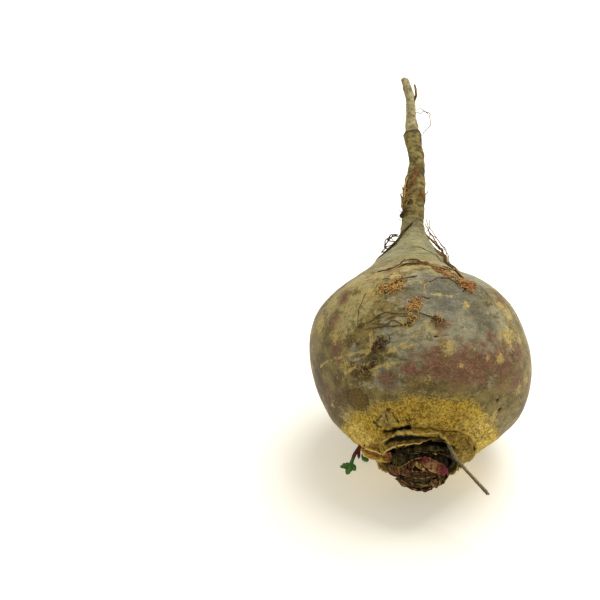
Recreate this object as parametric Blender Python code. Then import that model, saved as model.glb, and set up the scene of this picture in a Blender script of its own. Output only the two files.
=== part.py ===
"""A whole beetroot as it comes out of the soil, lying on its side: a round swollen root that runs out
into a long taproot, a corky crown with torn ledges, and the leaf stubs that are left on the crown.

Every piece is modelled in the beet's own frame, in millimetres turned to metres: its axis is Z, which
runs from the crown (below zero) to the taproot's tip. An angle round the axis is 0 on the side that
lies uppermost, and 90 degrees on the side of +X. An empty then lays the whole beet down.
"""

import math

import bmesh
import bpy
import numpy as np
from mathutils import Matrix, Vector

MM = 0.001

# Driving dimensions, in millimetres and degrees
BODY_RADIUS = 45.0
ROOT_RISE = 28.0
FLAT_SPOT_CUT = 1.2
GAP = 0.3

# Skin outline as (radius, distance along the axis): the crown from its socket out to the shoulder
CROWN_SOCKET_FLOOR = -41.0
CROWN_SOCKET_RADIUS = 11.3
CROWN_OUTLINE = (
    (5.5, CROWN_SOCKET_FLOOR),
    (10.4, CROWN_SOCKET_FLOOR),
    (CROWN_SOCKET_RADIUS, -41.7),
    (CROWN_SOCKET_RADIUS, -44.2),
    (12.1, -44.9),
    (12.8, -43.6),
    (13.3, -43.4),
    (13.9, -44.8),
    (14.6, -45.2),
    (15.4, -43.6),
    (16.0, -41.3),
    (16.5, -41.2),
    (17.0, -42.7),
    (17.7, -43.1),
    (19.2, -41.5),
    (20.1, -39.7),
    (20.9, -39.9),
    (22.2, -38.4),
    (24.3, -36.3),
    (27.6, -33.4),
    (31.5, -30.2),
    (35.4, -26.5),
)
# The belly is an arc of the body's radius between these angles above the equator
BELLY_FROM = -30.0
BELLY_TO = 22.0
BELLY_RINGS = 11
# The neck and taproot, again as (radius, distance along the axis)
ROOT_OUTLINE = (
    (38.4, 21.4),
    (34.8, 25.0),
    (30.5, 28.2),
    (26.4, 31.0),
    (21.7, 36.0),
    (17.3, 41.0),
    (12.7, 46.0),
    (8.6, 51.0),
    (6.4, 54.6),
    (5.2, 58.5),
    (4.6, 64.0),
    (4.45, 71.0),
    (4.6, 75.5),
    (4.3, 80.0),
    (3.9, 84.0),
    (3.45, 89.0),
    (3.25, 94.0),
    (3.4, 99.0),
    (3.55, 103.5),
    (3.65, 107.2),
    (3.05, 108.2),
    (2.65, 111.5),
    (2.25, 115.0),
    (1.95, 120.0),
    (1.95, 126.0),
    (1.9, 131.0),
    (1.7, 133.2),
    (1.1, 133.9),
)
# The body leans: how far it stands out towards +X, and in on the other side, by distance along the axis
BODY_LEAN = (
    (-44.0, -0.6),
    (-37.0, -0.2),
    (-30.0, 0.8),
    (-20.0, 1.6),
    (-10.0, 1.0),
    (0.0, 0.0),
    (10.0, -1.2),
    (25.0, -2.2),
    (34.0, -3.2),
    (41.0, -2.8),
    (47.0, -1.3),
    (56.0, 0.0),
)
# How far the taproot strays from the axis: (distance along the axis, towards +X, towards the underside)
ROOT_BENDS = (
    (38.0, 0.0, 0.0),
    (52.0, -1.2, 0.3),
    (60.0, -1.8, 0.7),
    (70.0, -0.9, 0.2),
    (82.0, -0.1, -0.6),
    (93.0, 0.9, -0.2),
    (103.0, -0.2, 0.7),
    (115.0, -0.8, 0.9),
    (124.0, -0.9, 0.2),
    (129.5, -2.2, -0.5),
    (134.0, -3.5, -1.1),
)
BODY_COLUMNS = 64
ROOT_COLUMNS = 32
COLUMNS_HALVE_AT = 52.0

# Side-root tufts, which sit in raised scars: (angle, distance along the axis, size)
TUFTS = (
    (23.0, 15.0, 4.2),
    (-17.0, 11.7, 4.0),
    (-7.0, 0.8, 3.6),
    (4.3, -3.0, 2.8),
    (-25.4, -12.8, 3.6),
    (-39.6, -18.7, 3.2),
    (196.0, 12.0, 4.0),
    (172.0, -6.0, 3.4),
    (214.0, 24.0, 3.0),
)
# Side roots that lie along the skin: each a run of (angle, distance along the axis, height over the skin)
SIDE_ROOTS = (
    (
        (22.0, 16.0, -0.6),
        (21.0, 22.0, 0.6),
        (24.0, 30.0, 0.8),
        (32.0, 38.0, 1.2),
        (48.0, 46.0, 1.5),
        (64.0, 52.0, 1.2),
        (74.0, 58.0, -0.6),
    ),
    ((15.0, 21.5, -0.6), (9.0, 23.0, 0.6), (0.0, 25.4, 0.6), (-10.0, 26.0, 0.6), (-20.0, 22.5, -0.6)),
    ((5.0, 61.5, -0.7), (-28.0, 58.5, 0.5), (-54.0, 55.0, 0.6), (-70.0, 49.0, 0.7), (-82.0, 42.0, -0.6)),
    ((-46.0, 84.0, -0.6), (-60.0, 78.0, 0.5), (-66.0, 71.0, 0.5), (-70.0, 64.0, -0.6)),
    ((96.0, 123.0, -0.8), (92.0, 127.0, 1.0), (84.0, 131.0, 1.9)),
    ((168.0, 49.0, -0.6), (178.0, 42.0, 0.7), (190.0, 34.0, 0.7), (202.0, 27.0, -0.7)),
)
SIDE_ROOT_RADIUS = 0.62
SIDE_ROOT_SIDES = 6

# Leaf stubs on the crown
STUB_CORE_OUTLINE = (
    (6.0, -50.6),
    (9.3, -48.9),
    (10.6, -46.6),
    (10.9, -45.0),
    (10.7, -42.4),
    (9.2, CROWN_SOCKET_FLOOR - GAP),
)
# Rings of stubs: (count, foot radius, foot's distance along the axis, top radius, top's distance)
STUB_RINGS = (
    (7, 8.5, -45.2, 8.6, -50.8),
    (5, 5.4, -46.5, 5.2, -52.8),
    (3, 2.2, -48.0, 1.8, -54.0),
)
STUB_WIDTH = 8.0
STUB_THICKNESS = 2.2
STUB_TAPER = 0.24
STUB_SPREAD = 1.9
STUB_CURL = 0.075
UNDERSIDE_REACH = 2.2
STUB_UNEVENNESS = 0.7

# The dried leaf stalk that stands out of the crown's ledges, as points (X, Y, Z) of its centreline
STALK_ROUTE = (
    (8.3, -14.9, -41.0),
    (9.3, -15.2, -44.4),
    (10.9, -14.9, -47.6),
    (12.9, -14.4, -50.2),
    (16.4, -14.0, -54.5),
    (19.8, -13.8, -58.5),
    (22.8, -13.4, -62.0),
)
STALK_WIDTHS = (1.9, 1.9, 1.8, 1.8, 1.9, 2.1, 2.2)
STALK_THICKNESS = 1.1
STALK_HOLE_RADIUS = 1.5

# The small shoot on the crown's side
SHOOT_ROUTE = (
    (-23.0, 4.0, -33.0),
    (-25.3, 4.4, -36.0),
    (-27.3, 4.6, -39.2),
    (-28.7, 5.3, -42.2),
    (-29.3, 5.8, -43.8),
)
SHOOT_RADIUS = 0.8
SHOOT_HOLE_RADIUS = 1.2
SHOOT_LEAF_TIPS = ((-33.4, 6.6, -43.6), (-31.0, 7.4, -47.6), (-26.0, 7.6, -45.4))
SHOOT_LEAF_WIDTHS = (1.4, 2.0, 2.9, 3.2, 2.4, 1.0)
SHOOT_LEAF_FLAT = 0.36
HOLE_SIDES = 12

# The torn leaf base that folds out from the crown's ledge: (angle, radius, distance along the axis)
TORN_BASE_ROUTE = (
    (-82.0, 13.6, -44.9),
    (-89.0, 17.2, -45.0),
    (-97.0, 21.4, -43.0),
    (-103.0, 24.2, -39.6),
    (-106.0, 25.6, -36.4),
)
TORN_BASE_WIDTH = 6.0
TORN_BASE_THICKNESS = 1.5

LAY_DOWN = Matrix.Rotation(math.radians(ROOT_RISE - 90.0), 4, "X")


def smooth_curve(stations, at):
    """Monotone cubic curve through stations (at[0], value, ...), read at the given places."""
    table = np.array(stations, float)
    x, y = table[:, 0], table[:, 1:]
    step = np.diff(x)[:, None]
    rise = np.diff(y, axis=0) / step
    same_way = rise[:-1] * rise[1:] > 0
    middle = np.where(same_way, 2 * rise[:-1] * rise[1:] / np.where(same_way, rise[:-1] + rise[1:], 1.0), 0.0)
    slope = np.vstack([rise[:1], middle, rise[-1:]])
    at = np.clip(np.atleast_1d(np.asarray(at, float)), x[0], x[-1])
    k = np.clip(np.searchsorted(x, at, side="right") - 1, 0, len(x) - 2)
    t = ((at - x[k]) / (x[k + 1] - x[k]))[:, None]
    width = step[k]
    return (
        (1 + 2 * t) * (1 - t) ** 2 * y[k]
        + t * (1 - t) ** 2 * width * slope[k]
        + t * t * (3 - 2 * t) * y[k + 1]
        - t * t * (1 - t) * width * slope[k + 1]
    )


def smoothstep(value, low, high):
    """0 below low, 1 above high, and a smooth rise between."""
    t = np.clip((value - low) / (high - low), 0.0, 1.0)
    return t * t * (3 - 2 * t)


def angle_gap(angle, other):
    """Signed difference of two angles in degrees, from -180 to 180."""
    return (angle - other + 180.0) % 360.0 - 180.0


def skin_rings():
    """(radius, distance along the axis) of each ring of the skin, crown first."""
    belly = [
        (BODY_RADIUS * math.cos(math.radians(a)), BODY_RADIUS * math.sin(math.radians(a)))
        for a in np.linspace(BELLY_FROM, BELLY_TO, BELLY_RINGS)
    ]
    rings = list(CROWN_OUTLINE) + belly
    start = belly[-1][1]
    for _, end in ROOT_OUTLINE:
        if start > belly[-1][1] and end - start > 3.4:
            rings.append((outline_radius(0.5 * (start + end)), 0.5 * (start + end)))
        rings.append((outline_radius(end), end))
        start = end
    return rings


def bend_at(along):
    """The taproot's sideways offset at a distance along the axis, as (X, Y)."""
    return smooth_curve(ROOT_BENDS, along)


def body_relief(degrees, radius, along):
    """How far the skin stands off its round outline: lean, lobes, the two root furrows and the tuft scars."""
    turn = math.radians(degrees)
    past_socket = smoothstep(radius, 14.0, 24.0) if along < 0 else 1.0
    on_body = 1 - smoothstep(along, 34.0, 50.0) if along > 0 else smoothstep(radius, 14.0, 30.0)
    lean = smooth_curve(BODY_LEAN, along)[0, 0] * math.sin(turn)
    lobes = 0.55 * math.cos(2 * turn + 0.7) + 0.4 * math.cos(3 * turn - 1.1 + along * 0.02)
    relief = past_socket * lean + on_body * lobes
    on_sides = smoothstep(along, -36.0, -22.0) * (1 - smoothstep(along, 30.0, 52.0))
    for start in (6.0, 190.0):
        off = angle_gap(degrees, start + 1.1 * (along - 5.0)) * math.pi / 180.0 * 40.0
        relief -= on_sides * 1.1 * math.exp(-((off / 6.5) ** 2))
    for tuft_angle, tuft_along, size in TUFTS:
        tuft_radius = math.sqrt(BODY_RADIUS**2 - tuft_along**2)
        across = math.radians(angle_gap(degrees, tuft_angle)) * tuft_radius
        reach = math.hypot(across, (along - tuft_along) * 1.2) / size
        relief += 0.9 * math.exp(-(reach**2)) * on_body
    return relief


def root_relief(degrees, along):
    """Ring wrinkles and knobs of the taproot."""
    turn = math.radians(degrees)
    on_root = smoothstep(along, 44.0, 58.0) * (1 - smoothstep(along, 131.0, 133.0))
    wrinkle = 0.13 * math.sin(along * 2.1 + 0.8 * math.sin(turn)) + 0.09 * math.sin(along * 0.83 + 2.0 * turn)
    flute = 0.16 * math.cos(3 * turn + along * 0.05) + 0.1 * math.cos(5 * turn - along * 0.08)
    knob = 0.5 * math.exp(-(((along - 83.5) / 2.6) ** 2)) * max(0.0, math.cos(turn + math.radians(85.0)))
    return on_root * (wrinkle + flute + knob)


def crown_tear(degrees, radius):
    """Wobble of the torn crown ledges as (outwards, along the axis); nothing moves inside the socket."""
    turn = math.radians(degrees)
    torn = smoothstep(radius, CROWN_SOCKET_RADIUS + 0.5, 14.0) * (1 - smoothstep(radius, 21.5, 27.0))
    out = 0.55 * math.sin(2 * turn + 0.4 * radius) + 0.35 * math.sin(5 * turn - 0.7 * radius)
    rise = 0.4 * math.sin(3 * turn + 0.9 * radius) + 0.22 * math.sin(7 * turn - 1.3 * radius)
    return torn * out, torn * rise


def skin_point(degrees, radius, along, lift=0.0):
    """A point of the root's skin in millimetres, with lift over the smooth skin."""
    out, rise = crown_tear(degrees, radius)
    reach = radius + out + body_relief(degrees, radius, along) + root_relief(degrees, along) + lift
    turn = math.radians(degrees)
    bend_x, bend_y = bend_at(along)[0]
    return Vector((bend_x + reach * math.sin(turn), bend_y - reach * math.cos(turn), along + rise))


def outline_radius(along):
    """The round outline's radius at a distance along the axis, from the shoulder to the tip."""
    if along < ROOT_OUTLINE[0][1]:
        return math.sqrt(BODY_RADIUS**2 - along**2)
    return smooth_curve([(end, radius) for radius, end in ROOT_OUTLINE], along)[0, 0]


def new_object(name, mesh_data, colour, roughness):
    """A named object under the laying-down empty, with its own material."""
    made = bpy.data.meshes.new(name)
    mesh_data.normal_update()
    mesh_data.to_mesh(made)
    mesh_data.free()
    piece = bpy.data.objects.new(name, made)
    bpy.context.scene.collection.objects.link(piece)
    finish = bpy.data.materials.new(name)
    finish.use_nodes = True
    shader = finish.node_tree.nodes["Principled BSDF"]
    shader.inputs["Base Color"].default_value = (*colour, 1.0)
    shader.inputs["Roughness"].default_value = roughness
    shader.inputs["Metallic"].default_value = 0.0
    made.materials.append(finish)
    return piece


def join_rings(shape, lower, upper):
    """Faces between two rings of vertices, the upper with as many or half as many."""
    n, m = len(lower), len(upper)
    for j in range(m):
        nxt = (j + 1) % m
        if n == m:
            shape.faces.new((lower[j], lower[nxt], upper[nxt], upper[j]))
        else:
            a, b, c = lower[2 * j], lower[2 * j + 1], lower[(2 * j + 2) % n]
            shape.faces.new((a, b, upper[j]))
            shape.faces.new((b, upper[nxt], upper[j]))
            shape.faces.new((b, c, upper[nxt]))


def loft(rings):
    """A closed skin through rings of points in millimetres, with a point fan over each end."""
    shape = bmesh.new()
    loops = [[shape.verts.new(Vector(p) * MM) for p in ring] for ring in rings]
    for lower, upper in zip(loops, loops[1:]):
        join_rings(shape, lower, upper)
    for loop in (loops[0], loops[-1]):
        middle = shape.verts.new(sum((v.co for v in loop), Vector()) / len(loop))
        for a, b in zip(loop, loop[1:] + loop[:1]):
            shape.faces.new((a, b, middle))
    bmesh.ops.recalc_face_normals(shape, faces=shape.faces)
    return shape


def tube_rings(route, radii, sides, flat=1.0, face=Vector((0, 0, 1))):
    """Rings round a route: ellipses, flat times as thick as they are wide, whose thin way is near face."""
    points = [Vector(p) for p in route]
    rings = []
    for k, point in enumerate(points):
        ahead = (points[min(k + 1, len(points) - 1)] - points[max(k - 1, 0)]).normalized()
        thin = (face - ahead * face.dot(ahead)).normalized()
        wide = ahead.cross(thin)
        turns = [2 * math.pi * j / sides for j in range(sides)]
        rings.append([point + radii[k] * (math.cos(t) * wide + flat * math.sin(t) * thin) for t in turns])
    return rings


def finer(route, steps):
    """A smooth curve through the route's points, read at even steps."""
    table = [(k, *p) for k, p in enumerate(route)]
    return [Vector(p) for p in smooth_curve(table, np.linspace(0, len(route) - 1, steps))]


def union_of(base, pieces, name):
    """Joins the pieces to the base in one Boolean union, and removes them."""
    group = bpy.data.collections.new(name)
    bpy.context.scene.collection.children.link(group)
    for piece in pieces:
        bpy.context.scene.collection.objects.unlink(piece)
        group.objects.link(piece)
    join = base.modifiers.new(name, "BOOLEAN")
    join.operation = "UNION"
    join.operand_type = "COLLECTION"
    join.collection = group
    join.solver = "EXACT"
    apply_modifiers(base)
    for piece in list(group.objects):
        bpy.data.objects.remove(piece)
    bpy.data.collections.remove(group)


def cut_hole(base, route, radius):
    """Cuts the hole that the foot of a piece with this route stands in, a gap deeper than the foot."""
    start, end = Vector(route[0]), Vector(route[1])
    ahead = (end - start).normalized()
    hole = tube_rings((start - ahead * GAP, start, end + ahead * 3.0), [radius] * 3, HOLE_SIDES)
    cutter = new_object("hole", loft(hole), (0, 0, 0), 1.0)
    cut = base.modifiers.new("hole", "BOOLEAN")
    cut.operation = "DIFFERENCE"
    cut.object = cutter
    cut.solver = "EXACT"
    apply_modifiers(base)
    bpy.data.objects.remove(cutter)


def apply_modifiers(piece):
    """Replaces the mesh by what its modifiers make of it."""
    bpy.context.view_layer.update()
    seen = piece.evaluated_get(bpy.context.evaluated_depsgraph_get())
    made = bpy.data.meshes.new_from_object(seen)
    piece.modifiers.clear()
    piece.data = made


def side_root(number, run):
    """One thin side root that follows the skin and dips into it at its ends."""
    table = [(k, *stop) for k, stop in enumerate(run)]
    stops = smooth_curve(table, np.linspace(0, len(run) - 1, 3 * len(run) - 2))
    points = [skin_point(a, outline_radius(z), z, lift) for a, z, lift in stops]
    radii = [SIDE_ROOT_RADIUS * (1.0 - 0.25 * k / len(points)) for k in range(len(points))]
    rings = tube_rings(points, radii, SIDE_ROOT_SIDES, face=Vector((0.31, -0.95, 0.05)))
    return new_object(f"side_root_{number}", loft(rings), (0.2, 0.13, 0.07), 0.8)


def torn_leaf_base():
    """The trough of a torn leaf base that folds out over the crown's ledges."""
    route = []
    for degrees, radius, along in TORN_BASE_ROUTE:
        turn = math.radians(degrees)
        route.append((radius * math.sin(turn), -radius * math.cos(turn), along))
    points = finer(route, 9)
    rings = []
    for k, point in enumerate(points):
        ahead = (points[min(k + 1, 8)] - points[max(k - 1, 0)]).normalized()
        outward = point.normalized()
        outward = (outward - ahead * outward.dot(ahead)).normalized()
        wide = ahead.cross(outward)
        width = 0.5 * TORN_BASE_WIDTH * (1.0 - 0.35 * (k / 8) ** 2)
        ring = []
        for j in range(12):
            turn = 2 * math.pi * j / 12
            across = math.cos(turn) * width
            up = 0.5 * TORN_BASE_THICKNESS * math.sin(turn) + 0.13 * across**2
            ring.append(point + wide * across + outward * up)
        rings.append(ring)
    return new_object("torn_leaf_base", loft(rings), (0.4, 0.28, 0.1), 0.8)


def beet_root():
    """The swollen root, its crown ledges and its taproot, in one skin with a flat spot to lie on."""
    rings = []
    for radius, along in skin_rings():
        columns = BODY_COLUMNS if along < COLUMNS_HALVE_AT else ROOT_COLUMNS
        turns = [360.0 * j / columns for j in range(columns)]
        rings.append([skin_point(degrees, radius, along) for degrees in turns])
    shape = loft(rings)
    to_beet = LAY_DOWN.inverted()
    lowest = min((LAY_DOWN @ v.co).z for v in shape.verts)
    floor_point = to_beet @ Vector((0, 0, lowest + FLAT_SPOT_CUT * MM))
    down = (to_beet @ Vector((0, 0, -1))).normalized()
    everything = shape.verts[:] + shape.edges[:] + shape.faces[:]
    below = {"plane_co": floor_point, "plane_no": down, "clear_outer": True}
    cut = bmesh.ops.bisect_plane(shape, geom=everything, **below)
    edges = [e for e in cut["geom_cut"] if isinstance(e, bmesh.types.BMEdge)]
    bmesh.ops.contextual_create(shape, geom=edges)
    bmesh.ops.recalc_face_normals(shape, faces=shape.faces)
    root = new_object("beet_root", shape, (0.19, 0.16, 0.09), 0.55)
    pieces = [side_root(k, run) for k, run in enumerate(SIDE_ROOTS)] + [torn_leaf_base()]
    union_of(root, pieces, "side_roots")
    cut_hole(root, SHOOT_ROUTE, SHOOT_HOLE_RADIUS)
    cut_hole(root, STALK_ROUTE, STALK_HOLE_RADIUS)
    return root


def flat_spot_middle(root):
    """The middle of the flat spot under the root, with the beet laid down but not yet moved."""
    points = [LAY_DOWN @ v.co for v in root.data.vertices]
    floor = min(p.z for p in points)
    spot = [p for p in points if p.z < floor + 0.01 * MM]
    middle_x = 0.5 * (min(p.x for p in spot) + max(p.x for p in spot))
    middle_y = 0.5 * (min(p.y for p in spot) + max(p.y for p in spot))
    return Vector((middle_x, middle_y, floor))


def leaf_stub(number, degrees, foot_radius, foot_along, top_radius, top_along):
    """One cut leaf stalk: a crescent that hugs the crown's middle and ends in a blunt cut."""
    turn = math.radians(degrees)
    outward = Vector((math.sin(turn), -math.cos(turn), 0))
    across = Vector((math.cos(turn), math.sin(turn), 0))
    underneath = 0.5 - 0.5 * math.cos(turn)
    top_along -= UNDERSIDE_REACH * (underneath - 0.35) + STUB_UNEVENNESS * math.sin(5.1 * number)
    size = min(1.0, 0.35 + foot_radius / 9.0)
    rings = []
    for t in np.linspace(0, 1, 6):
        radius = foot_radius + (top_radius - foot_radius) * t + STUB_SPREAD * math.sin(math.pi * min(t, 0.85))
        along = foot_along + (top_along - foot_along) * t
        width = 0.5 * STUB_WIDTH * size * (1.0 - STUB_TAPER * t)
        thickness = 0.5 * STUB_THICKNESS * size * (1.0 - STUB_TAPER * t)
        ring = []
        for j in range(10):
            round_turn = 2 * math.pi * j / 10
            x = width * math.cos(round_turn)
            y = thickness * math.sin(round_turn) - STUB_CURL * x * x
            cut_slope = Vector((0, 0, 0.5 * t * math.sin(round_turn)))
            ring.append(outward * (radius + y) + across * x + Vector((0, 0, along)) + cut_slope)
        rings.append(ring)
    return new_object(f"stub_{number}", loft(rings), (0.1, 0.02, 0.05), 0.6)


def crown_leaf_stubs():
    """The bunch of cut leaf stalks, standing in the crown's socket."""
    core = []
    for radius, along in STUB_CORE_OUTLINE:
        turns = [2 * math.pi * j / 24 for j in range(24)]
        core.append([(radius * math.sin(t), -radius * math.cos(t), along) for t in turns])
    bunch = new_object("crown_leaf_stubs", loft(core), (0.1, 0.03, 0.05), 0.6)
    stubs = []
    for ring, (count, foot_radius, foot_along, top_radius, top_along) in enumerate(STUB_RINGS):
        for k in range(count):
            degrees = 360.0 * (k + 0.5 * ring) / count + 83.0
            stubs.append(leaf_stub(len(stubs), degrees, foot_radius, foot_along, top_radius, top_along))
    union_of(bunch, stubs, "stubs")
    return bunch


def dry_leaf_stalk():
    """The dried stalk of one lost leaf: a flat fibrous strip that hangs from the crown."""
    steps = 12
    points = finer(STALK_ROUTE, steps)
    stations = np.linspace(0, len(STALK_WIDTHS) - 1, steps)
    widths = smooth_curve(list(enumerate(STALK_WIDTHS)), stations)[:, 0]
    radii = [0.5 * float(width) for width in widths]
    flat = STALK_THICKNESS / STALK_WIDTHS[0]
    rings = tube_rings(points, radii, 8, flat=flat, face=Vector((0.6, -0.5, 0.6)))
    return new_object("dry_leaf_stalk", loft(rings), (0.25, 0.22, 0.14), 0.8)


def side_shoot():
    """A small shoot on the side of the crown: a short stem with three young leaves."""
    stem_points = finer(SHOOT_ROUTE, 7)
    rings = tube_rings(stem_points, [SHOOT_RADIUS] * len(stem_points), 8)
    stem = new_object("side_shoot", loft(rings), (0.1, 0.2, 0.03), 0.5)
    start = stem_points[-2]
    leaves = []
    for number, tip in enumerate(SHOOT_LEAF_TIPS):
        aim = Vector(tip) - start
        route = [start + aim * t for t in np.linspace(0, 1, len(SHOOT_LEAF_WIDTHS))]
        radii = [0.5 * width for width in SHOOT_LEAF_WIDTHS]
        rings = tube_rings(route, radii, 8, flat=SHOOT_LEAF_FLAT, face=Vector((0, -1, 0.2)))
        leaves.append(new_object(f"young_leaf_{number}", loft(rings), (0.05, 0.3, 0.02), 0.5))
    union_of(stem, leaves, "young_leaves")
    return stem


def main():
    """Clears the scene, builds the pieces and lays the beet down with its flat spot on the origin."""
    for old in list(bpy.data.objects):
        bpy.data.objects.remove(old)
    beetroot = bpy.data.objects.new("beetroot", None)
    bpy.context.scene.collection.objects.link(beetroot)
    root = beet_root()
    beetroot.matrix_world = Matrix.Translation(-flat_spot_middle(root)) @ LAY_DOWN
    for piece in (root, crown_leaf_stubs(), dry_leaf_stalk(), side_shoot()):
        piece.parent = beetroot
        piece.data.shade_smooth()
        piece.data.set_sharp_from_angle(angle=math.radians(50.0))
    bpy.context.view_layer.update()


main()
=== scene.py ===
"""Looks of the beetroot: skin, corky crown, leaf stubs, dry stalk, shoot, root hairs, light and camera.

Shapes are worked out in the beet's own frame, in millimetres: its axis is Z, from the crown (below zero)
to the taproot's tip, "along" is the distance along it, and "turn" is the angle round it in degrees, 0 on
the side that lies uppermost and 90 on the side of +X. lay_down() takes them to the part's frame.
"""

import itertools
import math

import bpy
import numpy as np
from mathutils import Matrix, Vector


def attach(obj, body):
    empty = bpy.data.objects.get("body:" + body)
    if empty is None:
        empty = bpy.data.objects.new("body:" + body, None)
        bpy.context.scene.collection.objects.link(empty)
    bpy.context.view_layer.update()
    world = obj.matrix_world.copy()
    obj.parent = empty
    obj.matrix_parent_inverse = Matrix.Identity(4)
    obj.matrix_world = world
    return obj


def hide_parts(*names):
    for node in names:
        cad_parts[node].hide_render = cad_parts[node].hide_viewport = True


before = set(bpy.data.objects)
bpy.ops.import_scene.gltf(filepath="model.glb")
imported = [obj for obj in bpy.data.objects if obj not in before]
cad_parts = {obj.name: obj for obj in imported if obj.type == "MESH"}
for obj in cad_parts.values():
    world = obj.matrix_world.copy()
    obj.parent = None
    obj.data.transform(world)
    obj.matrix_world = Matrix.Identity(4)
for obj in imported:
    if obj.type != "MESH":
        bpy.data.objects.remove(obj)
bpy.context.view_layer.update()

MM = 0.001
ROOT_RISE = 28
BODY_RADIUS = 45
BODY_CENTRE = np.array((-1.4655, -0.8744, 44.1747))

# The skin's outline as (radius, along), as in the solids: the crown's socket and torn ledges
CROWN_OUTLINE = (
    (5.5, -41), (10.4, -41), (11.3, -41.7), (11.3, -44.2), (12.1, -44.9), (12.8, -43.6), (13.3, -43.4),
    (13.9, -44.8), (14.6, -45.2), (15.4, -43.6), (16, -41.3), (16.5, -41.2), (17, -42.7), (17.7, -43.1),
    (19.2, -41.5), (20.1, -39.7), (20.9, -39.9), (22.2, -38.4), (24.3, -36.3), (27.6, -33.4),
    (31.5, -30.2), (35.4, -26.5),
)
# How many of those points are ledges, and how many are on the smooth body
LEDGE_POINTS = 20
SHOULDER_POINTS = 5
# The belly is an arc of the body's radius between these angles
BELLY_FROM = -30
BELLY_TO = 22
BELLY_POINTS = 11
# The neck and taproot
ROOT_OUTLINE = (
    (38.4, 21.4), (34.8, 25), (30.7, 28.2), (27, 31), (21.7, 36), (17.3, 41), (12.7, 46), (8.6, 51),
    (6.4, 54.6), (5.2, 58.5), (4.6, 64), (4.45, 71), (4.6, 75.5), (4.3, 80), (3.9, 84), (3.45, 89),
    (3.25, 94), (3.4, 99), (3.55, 103.5), (3.65, 107.2), (3.05, 108.2), (2.65, 111.5), (2.25, 115),
    (1.95, 120), (1.95, 126), (1.9, 131), (1.7, 133.2), (1.1, 133.9),
)
# How far the body leans to +X, by place along it, and the taproot's bends as (along, x, y)
BODY_LEAN = (
    (-44, -0.6), (-37, -0.2), (-30, 0.8), (-20, 1.6), (-10, 1), (0, 0), (10, -1.2), (25, -2.2),
    (34, -3.2), (41, -2.8), (47, -1.3), (56, 0),
)
ROOT_BENDS = (
    (38, 0, 0), (52, -1.2, 0.3), (60, -1.8, 0.7), (70, -0.9, 0.2), (82, -0.1, -0.6), (93, 0.9, -0.2),
    (103, -0.2, 0.7), (115, -0.8, 0.9), (124, -0.9, 0.2), (129.5, -2.2, -0.5), (134, -3.5, -1.1),
)
# Side-root tufts in raised scars: (turn, along, size)
TUFTS = (
    (23, 15, 4.2), (-17, 11.7, 4), (-7, 0.8, 3.6), (4.3, -3, 2.8), (-25.4, -12.8, 3.6),
    (-39.6, -18.7, 3.2), (196, 12, 4), (172, -6, 3.4), (214, 24, 3),
)
# The turns at which the two root furrows start
FURROWS = (6, 190)

# How fine the skin is, in millimetres from ring to ring, and its columns
LEDGE_STEP = 0.37
BODY_STEP = 0.86
NECK_STEP = 0.6
TAPROOT_STEP = 0.55
SKIN_COLUMNS = 360


def smooth_curve(stations, at):
    """Monotone cubic curve through stations (at[0], value, ...), read at the given places."""
    table = np.array(stations, float)
    x, y = table[:, 0], table[:, 1:]
    step = np.diff(x)[:, None]
    rise = np.diff(y, axis=0) / step
    same_way = rise[:-1] * rise[1:] > 0
    middle = np.where(same_way, 2 * rise[:-1] * rise[1:] / np.where(same_way, rise[:-1] + rise[1:], 1), 0)
    slope = np.vstack([rise[:1], middle, rise[-1:]])
    at = np.clip(np.atleast_1d(np.asarray(at, float)), x[0], x[-1])
    k = np.clip(np.searchsorted(x, at, side="right") - 1, 0, len(x) - 2)
    t = ((at - x[k]) / (x[k + 1] - x[k]))[:, None]
    width = step[k]
    return (
        (1 + 2 * t) * (1 - t) ** 2 * y[k]
        + t * (1 - t) ** 2 * width * slope[k]
        + t * t * (3 - 2 * t) * y[k + 1]
        - t * t * (1 - t) * width * slope[k + 1]
    )


def curve_values(stations, at):
    """A one-valued smooth curve read at an array of any shape."""
    at = np.asarray(at, float)
    return smooth_curve(stations, at.ravel())[:, 0].reshape(at.shape)


def finer(stops, count):
    """A smooth curve through stops, read at even shares of the way."""
    table = np.column_stack([np.arange(len(stops)), np.array(stops, float)])
    return smooth_curve(table, np.linspace(0, len(stops) - 1, count))


def smoothstep(value, low, high):
    """0 below low, 1 above high, and a smooth rise between."""
    t = np.clip((value - low) / (high - low), 0, 1)
    return t * t * (3 - 2 * t)


def band(value, low, full, fading, out):
    """A smooth rise from low to full, and a smooth fall from fading to out."""
    return smoothstep(value, low, full) * (1 - smoothstep(value, fading, out))


def bell(off):
    """1 at an off of 0, and fading out past 1 on both sides."""
    return np.exp(-(off**2))


def turn_gap(turn, other):
    """Signed difference of two angles in degrees, from -180 to 180."""
    return (turn - other + 180) % 360 - 180


LATTICE_DRAW = np.random.default_rng(11)
LATTICE = LATTICE_DRAW.permutation(256)
GRADIENTS = LATTICE_DRAW.normal(size=(256, 3))
GRADIENTS /= np.linalg.norm(GRADIENTS, axis=1)[:, None]
SEED_SHIFT = 19.7
NOISE_GAIN = 1.7


def noise(points, lump, seed=0):
    """Gradient noise from about -1 to 1, whose lumps are about as wide as lump, at points (..., 3)."""
    place = np.asarray(points, float) / lump + SEED_SHIFT * seed
    cell = np.floor(place).astype(int)
    part = place - cell
    fade = part**3 * (part * (part * 6 - 15) + 10)
    total = np.zeros(place.shape[:-1])
    for corner in itertools.product((0, 1), repeat=3):
        index = LATTICE[(cell[..., 0] + corner[0]) & 255]
        index = LATTICE[(index + cell[..., 1] + corner[1]) & 255]
        index = LATTICE[(index + cell[..., 2] + corner[2]) & 255]
        toward = ((part - corner) * GRADIENTS[index]).sum(-1)
        weight = np.prod(np.where(np.array(corner) == 1, fade, 1 - fade), axis=-1)
        total += weight * toward
    return NOISE_GAIN * total


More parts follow.
